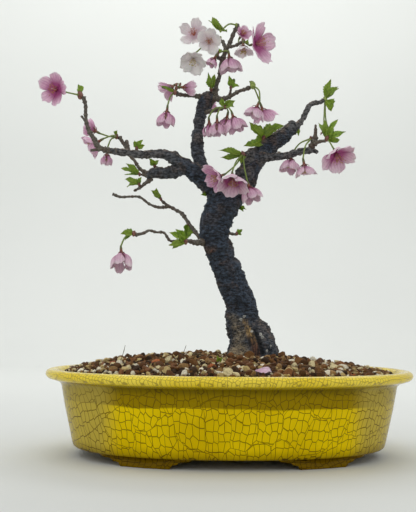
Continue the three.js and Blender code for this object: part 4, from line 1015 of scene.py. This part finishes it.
PETAL, THREAD, ANTHER = range(3)  # the looks of a blossom
PETALS, PETAL_ROWS, PETAL_COLUMNS = 5, 17, 17
LAYERS = (0, 1, 0.3, 1.3, 0.65)  # which petals overlap which
LAYER_GAP = 0.45
PETAL_THICKNESS = 0.22
HUB_DEPTH, PETAL_ROOT = 1.2, 0.9
STAMENS = 20
# How pale each blossom is, how deep its heart, what its stamens are like (0 yellow, 1 orange red)
# and how broad its petals are for their length; blossoms that aren't named follow the first entry.
TINTS = {
    None: (0.1, 0.65, 0.3, 0.44), "left_tip_1": (0.1, 1.3, 0.7, 0.42),
    "low_left_tip_1": (0.3, 0.8, 0.3, 0.4), "leader_left_1": (0.2, 0.65, 0.3, 0.38),
    "leader_left_2": (0.2, 0.65, 0.3, 0.38), "leader_right_tip_1": (0.3, 0.9, 0.3, 0.42),
    "top_left_1": (0.85, 0.4, 0.9, 0.41), "top_left_2": (0.95, 0.3, 0.6, 0.45),
    "top_left_3": (1.0, 0.08, 0.05, 0.47), "top_right_1": (0.2, 0.9, 0.6, 0.46),
    "top_right_2": (0.85, 0.3, 0.3, 0.44), "top_right_3": (0.2, 1.3, 0.4, 0.45),
    "right_inner_2": (0.3, 1.5, 0.3, 0.48), "right_inner_3": (0.2, 0.9, 0.3, 0.39),
    "right_low_tip_1": (0.3, 1.3, 0.4, 0.44), "right_low_1": (0.2, 0.8, 0.3, 0.39),
    "right_low_2": (0.3, 0.8, 0.3, 0.39),
}
LARGER = {
    "left_tip_1": 1.2, "top_right_3": 1.2, "top_lower_2": 1.1, "leader_left_1": 1.1, "leader_left_2": 1.1,
    "leader_right_tip_1": 1.12, "leader_right_tip_2": 1.06, "leader_low_right_2": 1.12,
    "leader_low_right_4": 1.06, "right_low_tip_1": 1.14, "low_left_tip_1": 1.06,
}


def petal_sheet(root, sides, length, half, round_axis, bow, tip, corner, frill, seed):
    """A thin petal: a narrow claw, a broad rounded blade and a notched, waving tip.

    It wraps round the blossom's axis as a cone of half angle round_axis does (None lies flat),
    bows out by a share of its length half way along, and turns its tip out or in. Gives the shape,
    and how far along and across the petal each of its points lies.
    """
    outward, across, normal = sides
    t = np.linspace(0, 1, PETAL_ROWS)[:, None]
    s = np.linspace(-1, 1, PETAL_COLUMNS)[None, :]
    girth = 0.17 + 0.83 * np.sin(np.pi / 2 * np.clip(t / 0.68, 0, 1)) ** 1.4
    girth = girth * (1 - 0.8 * corner * np.clip((t - 0.68) / 0.32, 0, 1) ** 2)
    dip = 0.03 + 0.03 * frill + 0.03 * jitter(seed, 2)
    notch = dip * np.exp(-((s - 0.06 * jitter(seed, 1)) / 0.16) ** 2)
    run = t * (1 - (notch + corner * np.abs(s) ** 2.6) * t ** 4)
    waves = 0.03 * np.sin(6 * s + 3 * jitter(seed, 3)) + 0.014 * np.sin(15 * s + 3 * jitter(seed, 7))
    run = run + frill * t ** 4 * waves
    reach = s * girth * half
    ripple = 0.042 * frill * length * t ** 2 * np.sin(6.5 * s + 4 * jitter(seed, 4)) * (0.3 + np.abs(s))
    rise = (ripple - bow * length * np.sin(np.pi * t) + tip * length * t ** 4
            + 0.1 * jitter(seed, 5) * t * reach)
    if round_axis is None:
        rise = rise + 0.12 * half * s * s * girth
    else:
        bend = np.maximum(run * length * math.tan(round_axis), 1.2) / 0.9
        turn = np.clip(reach / bend, -1.5, 1.5)
        rise, reach = rise + bend * (1 - np.cos(turn)), bend * np.sin(turn)
    grid = root + run[..., None] * length * outward + reach[..., None] * across + rise[..., None] * normal
    size = grid.shape[:2]
    return sheet(grid, normal, PETAL_THICKNESS), both_faces(t, size), both_faces(s, size)


def add_petals(piece, name, throat, axis, opening, length, number):
    """Five petals that overlap round the axis; a half-open blossom that hangs is more of a bell."""
    spread = math.radians(opening)
    pale, heart, _, breadth = TINTS.get(name, TINTS[None])
    if name not in TINTS:
        pale += 0.12 * jitter(number, 61)
    hang = max(0.0, -axis[2]) * (1 - smoothstep(40, 66, opening))
    for k in range(PETALS):
        radial = spoke(axis, 2 * math.pi * k / PETALS + jitter(number, 9))
        own = spread * (1 - 0.2 * hang) + 0.07 * jitter(number, k)
        outward = radial * math.sin(own) + axis * math.cos(own)
        across = np.cross(axis, radial)
        normal = unit(np.cross(outward, across))
        tilt = 0.1 + 0.04 * jitter(number, k + 70)
        side = across * math.cos(tilt) + normal * math.sin(tilt)
        lift = unit(np.cross(outward, side))
        half = (breadth - 0.01 * hang) * length * (1 + 0.08 * jitter(number, k + 80))
        bow = 0.05 + 0.16 * (1 - math.sin(own)) + 0.13 * hang + 0.03 * jitter(number, k + 85)
        tip = 0.04 + 0.08 * jitter(number, k + 90) * (1 - 0.5 * hang) - 0.05 * hang
        long = length * (1 + 0.09 * jitter(number, k + 100) * (1 - 0.5 * hang))
        root = throat + radial * 0.5 - lift * (LAYERS[k] * LAYER_GAP)
        shape, lines, cross = petal_sheet(root, (outward, side, lift), long, half, own * (1 - 0.35 * hang),
                                          bow, tip, 0.22 + 0.14 * hang, 1.2 - 1.05 * hang, number * 11 + k)
        piece.add(shape, PETAL, along=lines, across=cross, pale=pale, heart=heart,
                  tone=jitter(number, k + 95))


def add_stamens(piece, start, axis, opening, length, number, **values):
    """A brush of threads, each with its anther, that leans out more where the blossom is more open."""
    wide = 0.5 + 0.9 * math.sin(math.radians(opening))
    for k in range(STAMENS):
        lean = spoke(axis, 2 * math.pi * (k / STAMENS) + 0.25 * jitter(number, k + 120))
        slope = (0.16 + 0.2 * (k % 3) / 2 + 0.06 * jitter(number, k + 140)) * wide
        reach = (0.46 + 0.08 * jitter(number, k + 160)) * length
        root = start + axis * 0.8 + lean * 0.75
        middle = root + axis * reach * 0.55 + lean * slope * reach * 0.6
        tip = root + axis * reach + lean * slope * reach * (1 + 0.2 * jitter(number, k + 180))
        piece.add(tube([[*root, 0.16], [*middle, 0.13], [*tip, 0.11]], 4, 1.6), THREAD, along=0.7, **values)
        head = unit(tip - middle) * 0.3
        piece.add(tube([[*(tip - head), 0.4], [*(tip + head), 0.42]], 6, 0.5), ANTHER, **values)


def build_blossom(name, blossom, number, looks):
    at, facing, opening, petal = blossom
    piece = Piece(f"flower_{name}", "petal", looks, f"blossom_{name}")
    _, heart, warm, _ = TINTS.get(name, TINTS[None])
    axis = unit(facing)
    length = (petal - PETAL_ROOT) * LARGER.get(name, 1)
    start = np.array(at, float) + axis * 0.3
    throat = start + axis * HUB_DEPTH
    add_petals(piece, name, throat, axis, opening, length, number)
    hub = [[*(start + axis * 0.15), 1.35], [*(throat + axis * 0.2), 1.1]]
    piece.add(tube(hub, 12, 0.5, dome=0.3), THREAD, along=0, warm=warm, heart=heart)
    style = [[*start, 0.3], [*(throat + axis * 0.25 * length), 0.2], [*(throat + axis * 0.5 * length), 0.2]]
    piece.add(tube(style, 6, 1.2), THREAD, along=0.3, warm=0, heart=0)
    add_stamens(piece, start, axis, opening, length, number, warm=warm, heart=heart)
    piece.build()


def build_blossoms(*looks):
    for number, (name, (_, _, blossoms)) in enumerate(SHOOTS.items()):
        for index, blossom in enumerate(blossoms):
            build_blossom(f"{name}_{index + 1}", blossom, number * 5 + index, looks)
    build_blossom("leader_rear", REAR_BLOSSOM, 200, looks)


def build_fallen_petal(look):
    piece = Piece("petal_on_soil", "petal", [look], "fallen_petal")
    low, high = (np.array(corner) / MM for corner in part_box("fallen_petal"))
    normal, outward = unit([0, -0.42, 0.9]), unit([1, -0.1, 0])
    across = unit(np.cross(normal, outward))
    root = np.array([low[0] + 0.3, (low[1] + high[1]) / 2 + 0.7, (low[2] + high[2]) / 2 + 0.3])
    shape, lines, cross = petal_sheet(root, (outward, across, normal), length=14, half=6, round_axis=None,
                                      bow=0.03, tip=0.03, corner=0.2, frill=1, seed=990)
    piece.add(shape, PETAL, along=lines, across=cross, pale=0.3, heart=0.3)
    piece.build()


# ---- surface looks ----

def crackled_glaze(name, gloss, on_rim):
    """Yellow glaze with two generations of fine olive cracks and a few pinholes; a paler rim and paler ends
    as painted reflections, and painted shade under the rim and on the feet.
    """
    # On the rim the ground is paler than on the wall: a painted reflection of the bright light above.
    look = Look(name, (238, 208, 30) if on_rim else (220, 188, 0), IOR=gloss)
    run = look.node("UVMap", uv_map=GLAZE_MAP).outputs["UV"]
    spot = look.parts(look.place)
    height = spot["Z"]
    cloud = look.noise(16.0, 4.0, 0.6)
    if on_rim:
        crack = look.cracks(run, 0.003, 55.0, 290.0, 0.66)
        # Pale whitish clouds on the rim: more painted reflection of the light above.
        look.lay((250, 226, 76), cloud, 0.3, 0.7)
        # Painted shade on the underside of the rim's roll.
        look.lay((130, 108, 4), height, 0.0715, 0.0745, 0.8, 0.0)
    else:
        crack = look.cracks(run, 0.0062, 38.0, 150.0, look.span(height, 0.05, 0.062, 0.92, 0.68))
        look.lay((240, 209, 0), cloud, 0.3, 0.7)
        # Painted shadow of the rim over the top of the wall: a crisp, waving lower edge, then darkest in the
        # cove just under the rim.
        rim_shadow_edge = look.plus(height, look.span(look.noise(9.0, 2.0), 0.3, 0.7, -0.0012, 0.0014))
        look.lay((156, 130, 0), rim_shadow_edge, 0.0535, 0.0555)
        look.lay((122, 102, 0), height, 0.062, 0.0705)
        # Paler, greyer ends of the tray: a painted reflection, as glaze shows at a grazing view.
        look.lay((186, 166, 76), look.math("ABSOLUTE", spot["X"]), 0.100, 0.124, 0.0, 0.8)
        # Painted shade: darker low on the wall and darkest on the feet.
        look.lay((110, 84, 0), height, 0.0095, 0.021, 0.5, 0.0)
        look.lay((112, 84, 0), height, 0.0075, 0.0112, 0.9, 0.0)
    look.lay((128, 104, 30), look.noise(210.0, 3.0, 0.7), 0.64, 0.76, 0.0, 0.35)
    look.lay((124, 112, 60), crack, blend="MULTIPLY")
    hole = look.cells(look.place, 34.0)
    rare = look.math("GREATER_THAN", look.parts(hole["Color"])["X"], 0.8)
    look.lay((58, 44, 26), look.times(look.span(hole["Distance"], 0.025, 0.04, 1.0, 0.0), rare))
    relief = look.math("SUBTRACT", look.times(cloud, 0.5), look.times(crack, 0.3))
    roughness = look.plus(look.times(crack, 0.25), look.span(cloud, 0.2, 0.8, 0.09, 0.17))
    return look.finish(roughness, relief, 0.0006, 0.3)


def wet_soil():
    look = Look("damp_soil")
    stops = [(0.3, (34, 24, 18)), (0.55, (62, 42, 30)), (0.75, (88, 64, 46))]
    look.color = look.ramp(look.noise(260.0, 4.0, 0.7), stops).outputs["Color"]
    return look.finish(0.9, look.cells(look.place, 300.0)["Distance"], 0.002, 0.8)


def granule_mix():
    """Fired clay, bark crumbs and pumice: each grain takes one colour and its own mottling."""
    look = Look("soil_granules")
    stops = [(0.0, (58, 36, 12)), (0.14, (84, 53, 18)), (0.28, (114, 75, 30)), (0.42, (96, 60, 28)),
             (0.54, (128, 84, 46)), (0.64, (150, 116, 70)), (0.73, (192, 168, 112)), (0.8, (220, 204, 156)),
             (0.9, (237, 229, 204)), (0.985, (170, 96, 50))]
    kind = look.ramp(look.value("tone"), stops)
    kind.color_ramp.interpolation = "CONSTANT"
    look.color = kind.outputs["Color"]
    mottle = look.noise(620.0, 4.0, 0.7)
    shade = look.plus(look.times(look.value("shade"), 0.16), look.span(mottle, 0.2, 0.8, 0.55, 1.2))
    look.lay(look.node("CombineColor", {0: shade, 1: shade, 2: shade}).outputs[0], 1.0, blend="MULTIPLY")
    return look.finish(0.92, mottle, 0.0007, 0.7)


def grained(name, dark, light, scale, roughness, distance, strength):
    """A plain stuff whose colour and relief follow one fine grain."""
    look = Look(name, dark)
    grain = look.noise(scale)
    look.lay(light, grain)
    return look.finish(roughness, grain, distance, strength)


def old_bark():
    """Blue-black bark with browner patches, a bare scar at the foot and a few pale specks, with a painted
    highlight on its upward faces and painted shade in its crevices and grooves.
    """
    look = Look("old_cherry_bark")
    plate, thick, height = look.value("plate"), look.value("thick"), look.parts(look.place)["Z"]
    flat = look.vector("MULTIPLY", look.place, (1.0, 1.0, 2.4))
    fine, flake = look.noise(800.0, 5.0, 0.75, flat), look.noise(240.0, 4.0, 0.65, flat)
    flaky = look.span(flake, 0.36, 0.64)
    patch = look.times(look.span(look.noise(58.0, 3.0, 0.6), 0.46, 0.62),
                       look.span(look.value("lump"), 0.3, 0.7, 0.35, 1.0))
    look.color = look.mix(flaky, (13, 19, 29), (76, 91, 111))
    look.lay(look.mix(flaky, (38, 30, 31), (114, 97, 92)), patch)
    pale = look.mix(look.span(flake, 0.38, 0.62), (58, 59, 62), (142, 139, 135))
    look.lay(pale, thick, 0.15, 0.6, 0.75, 0.0)
    # Painted highlight: upward faces get a warm light brown, as if lit from above.
    top_lit = look.times(look.span(look.value("upper"), 0.3, 0.9), look.span(flake, 0.42, 0.6, 0.0, 0.8))
    look.lay((148, 122, 92), top_lit)
    look.lay((8, 10, 14), fine, 0.35, 0.65, 0.35, 0.0)
    # Painted shade: near black in the crevices between the plates.
    look.lay((7, 9, 13), plate, 0.0, 0.8, 0.55, 0.0)
    grain = look.plus(look.times(flake, 0.5), look.times(fine, 0.5))
    foot = look.times(look.span(height, 0.105, 0.15, 0.12, 0.0), look.span(flake, 0.46, 0.6))
    weathered = look.times(look.value("weathered"), look.span(grain, 0.42, 0.58))
    look.lay((178, 160, 128), look.most(foot, weathered))
    streak = look.noise(520.0, 4.0, 0.7, look.vector("MULTIPLY", look.place, (1.0, 1.0, 0.22)))
    high = look.mix(look.span(height, 0.104, 0.122), (112, 74, 56), (190, 156, 98))
    look.lay(look.mix(look.span(streak, 0.4, 0.62), (36, 24, 18), high), look.value("scar"))
    # Painted shade: near black down the grooves beside the scar.
    look.lay((8, 10, 14), look.times(look.value("sunk"), 0.9))
    fleck = look.times(look.span(look.value("speck"), 0.1, 0.5), look.span(fine, 0.44, 0.52))
    look.lay((206, 206, 198), fleck)
    look.lay((132, 86, 62), look.times(look.value("spot"), look.span(flake, 0.38, 0.52, 0.0, 0.6)))
    return look.finish(look.span(fine, 0.2, 0.8, 0.5, 0.85), look.plus(look.times(fine, 0.5), flake), 0.0016)


def young_bark():
    look = Look("young_cherry_bark", (52, 48, 44))
    grain = look.noise(700.0, 4.0, 0.7)
    lenticel = look.cells(look.place, 420.0)["Distance"]
    look.lay((122, 115, 103), grain, 0.3, 0.7)
    look.lay((82, 62, 52), look.noise(190.0, 3.0, 0.6), 0.45, 0.65, 0.0, 0.6)
    look.lay((142, 132, 114), lenticel, 0.1, 0.24, 0.6, 0.0)
    return look.finish(0.72, look.math("SUBTRACT", grain, lenticel), 0.0005, 0.6)


def fresh_leaf():
    look = Look("young_leaf", (80, 112, 20), Subsurface_Weight=0.08, Subsurface_Radius=(0.002, 0.004, 0.001),
                Subsurface_Scale=1.0)
    along, across = look.value("along"), look.math("ABSOLUTE", look.value("across"))
    comb = look.math("SUBTRACT", look.times(along, 9.0), look.times(across, 3.2))
    vein = look.span(look.math("PINGPONG", comb, 0.5), 0.0, 0.12, 0.7, 0.0)
    lines = look.most(look.span(across, 0.0, 0.14, 1.0, 0.0), vein)
    mottle = look.noise(380.0, 3.0, 0.6)
    look.lay((136, 166, 44), mottle, 0.3, 0.7)
    look.lay((118, 134, 36), look.value("tone"), -1.0, 1.0, 0.0, 0.55)
    look.lay((150, 140, 60), along, 0.75, 1.0, 0.0, 0.35)
    look.lay((176, 196, 96), look.times(lines, 0.45))
    return look.finish(0.42, look.math("SUBTRACT", mottle, lines), 0.0006, 0.6)


def flower_cup():
    look = Look("calyx", (104, 50, 46))
    grain = look.noise(520.0)
    look.lay((138, 82, 62), grain, 0.35, 0.65)
    look.lay((84, 100, 50), look.value("along"), 0.3, 0.85, 0.9, 0.0)
    return look.finish(0.5, grain, 0.0002, 0.4)


def bud_scale(name, low, high):
    look = Look(name, low)
    grain = look.noise(650.0, 4.0, 0.65)
    look.lay(high, grain, 0.35, 0.65)
    look.lay((96, 66, 50), look.value("along"), 0.7, 1.0, 0.0, 0.6)
    return look.finish(0.6, grain, 0.0004, 0.5)


def cherry_petal():
    """Mauve pink, deepest at the base, with faint veins; whole blossoms may be nearly white."""
    look = Look("cherry_petal", (214, 150, 186), Subsurface_Weight=0.12,
                Subsurface_Radius=(0.004, 0.002, 0.003), Subsurface_Scale=1.0)
    along, across, pale = look.value("along"), look.value("across"), look.value("pale")
    cloud = look.noise(150.0, 3.0, 0.6)
    clouded = look.span(cloud, 0.3, 0.7)
    edge = look.most(look.span(along, 0.7, 1.0), look.span(look.math("ABSOLUTE", across), 0.72, 1.0))
    look.lay((240, 192, 215), clouded)
    look.lay((202, 138, 178), look.value("tone"), -1.0, 1.0, 0.0, 0.35)
    look.lay((242, 220, 232), look.times(edge, 0.55))
    look.lay(look.mix(clouded, (218, 215, 214), (240, 238, 233)), pale)
    look.lay((150, 38, 104), look.times(look.span(along, 0.1, 0.75, 1.0, 0.0), look.value("heart")))
    drift = look.times(look.noise(260.0, 2.0), 1.4)
    vein, streak = (look.span(look.math("PINGPONG", look.math("MULTIPLY_ADD", across, count, drift), 0.5),
                              0.0, width, 1.0, 0.0) for count, width in ((8.0, 0.2), (2.9, 0.3)))
    strength = look.times(look.span(along, 0.25, 1.0, 0.8, 0.2), look.math("SUBTRACT", 1.12, pale))
    look.lay((160, 78, 136), look.times(look.most(look.times(vein, 0.6), streak), strength))
    return look.finish(0.48, look.plus(vein, cloud), 0.0004, 0.4)


def stamen_thread():
    look = Look("stamen_thread", (226, 214, 190))
    look.lay((206, 104, 84), look.value("warm"))
    deep = look.times(look.value("heart"), look.span(look.value("along"), 0.0, 0.8, 1.0, 0.35))
    look.lay((176, 52, 96), deep)
    return look.finish(0.5)


def pollen():
    look = Look("anther", (150, 138, 30))
    grain = look.noise(1500.0, 2.0)
    look.lay((200, 184, 70), grain)
    look.lay((164, 88, 50), look.value("warm"))
    return look.finish(0.8, grain, 0.0001, 0.5)


def studio_paper():
    look = Look("studio_paper", (216, 218, 215))
    look.lay((220, 222, 219), look.noise(3.0, 2.0))
    return look.finish(0.9)


# ---- the studio ----

SWEEP_FRONT, SWEEP_BEND, SWEEP_RADIUS, SWEEP_TOP, SWEEP_HALF = -2600, 1500, 700, 3200, 3200
SKY_COLOR, SKY_STRENGTH = (0.99, 1.0, 0.992, 1), 0.745
# Each lamp as name: (place, target, size, power), in metres and watts.
SOFTBOXES = {
    "overhead": ((-0.35, -0.35, 1.7), (0.0, 0.0, 0.2), (1.6, 1.2), 5.2),
    "window": ((0.25, 0.95, 1.25), (0.0, 0.0, 0.12), (1.5, 0.35), 4.0),
    "backdrop": ((0.0, 0.9, 1.9), (0.0, 2.2, 1.3), (2.4, 0.5), 18.0),
}
# The photograph's camera: where it stands, its right, its up and its way ahead, its lens on its sensor.
CAMERA_PLACE = (-0.05097, -0.84847, 0.128)
CAMERA_RIGHT = (0.99935744, -0.03470191, 0.00897181)
CAMERA_UP = (-0.01167726, -0.07856311, 0.99684075)
CAMERA_AHEAD = (0.03388743, 0.99630498, 0.07891785)
CAMERA_LENS, CAMERA_SENSOR, CAMERA_CLIP = 59.48, 36, (0.02, 20)


def build_studio():
    """A pale sweep of paper, three soft lights and an even sky."""
    turn = np.linspace(0, math.pi / 2, 25)
    bend = [[SWEEP_BEND + SWEEP_RADIUS * math.sin(angle), SWEEP_RADIUS - SWEEP_RADIUS * math.cos(angle)]
            for angle in turn]
    profile = [[SWEEP_FRONT, 0]] + bend + [[SWEEP_BEND + SWEEP_RADIUS, SWEEP_TOP]]
    grid = np.array([[[x, y, z] for x in np.linspace(-SWEEP_HALF, SWEEP_HALF, 9)] for y, z in profile])
    paper = Piece("paper_sweep", None, [studio_paper()])
    paper.add((grid.reshape(-1, 3), grid_faces(*grid.shape[:2])))
    added("paper_sweep", paper.mesh())

    world = bpy.data.worlds.new("sky")
    world.use_nodes = True
    sky = world.node_tree.nodes["Background"].inputs
    sky["Color"].default_value, sky["Strength"].default_value = SKY_COLOR, SKY_STRENGTH
    bpy.context.scene.world = world

    for name, (place, target, size, power) in SOFTBOXES.items():
        lamp = bpy.data.lights.new(name, "AREA")
        lamp.shape, lamp.size, lamp.size_y, lamp.energy = "RECTANGLE", *size, power
        thing = added(name, lamp)
        thing.location = place
        thing.rotation_euler = (Vector(target) - Vector(place)).to_track_quat("-Z", "Y").to_euler()


def add_camera():
    camera = added("camera", bpy.data.cameras.new("camera"))
    turn = Matrix((CAMERA_RIGHT, CAMERA_UP, -Vector(CAMERA_AHEAD))).transposed()
    camera.matrix_world = Matrix.Translation(CAMERA_PLACE) @ turn.to_4x4()
    camera.data.sensor_width, camera.data.lens = CAMERA_SENSOR, CAMERA_LENS
    camera.data.clip_start, camera.data.clip_end = CAMERA_CLIP
    bpy.context.scene.camera = camera


# ---- assembly ----

def dress(node, look):
    """Gives a CAD node that stays visible its finished material."""
    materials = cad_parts[node].data.materials
    materials.clear()
    materials.append(look)


bpy.context.scene.view_settings.view_transform = "Standard"
build_tray(crackled_glaze("wall_glaze", 1.15, False), crackled_glaze("rim_glaze", 1.4, True))
net = grained("drain_net", (22, 24, 23), (40, 43, 41), 420.0, 0.55, 0.0002, 0.3)
dress("drain_mesh_left", net)
dress("drain_mesh_right", net)
dress("soil", wet_soil())
build_granules(granule_mix())
leaf = fresh_leaf()
build_litter(grained("dry_litter", (58, 44, 30), (116, 98, 70), 500.0, 0.85, 0.0003, 0.5), leaf)
build_trunk(old_bark())
build_twigs(young_bark())
build_sprouts(leaf)
build_shoots(leaf, grained("flower_stalk", (92, 114, 42), (140, 156, 78), 600.0, 0.5, 0.0002, 0.4),
             flower_cup(), bud_scale("brown_bud_scale", (92, 58, 50), (142, 96, 82)),
             bud_scale("green_bud_scale", (112, 132, 56), (158, 172, 92)))
petal = cherry_petal()
build_blossoms(petal, stamen_thread(), pollen())
build_fallen_petal(petal)
build_studio()
add_camera()
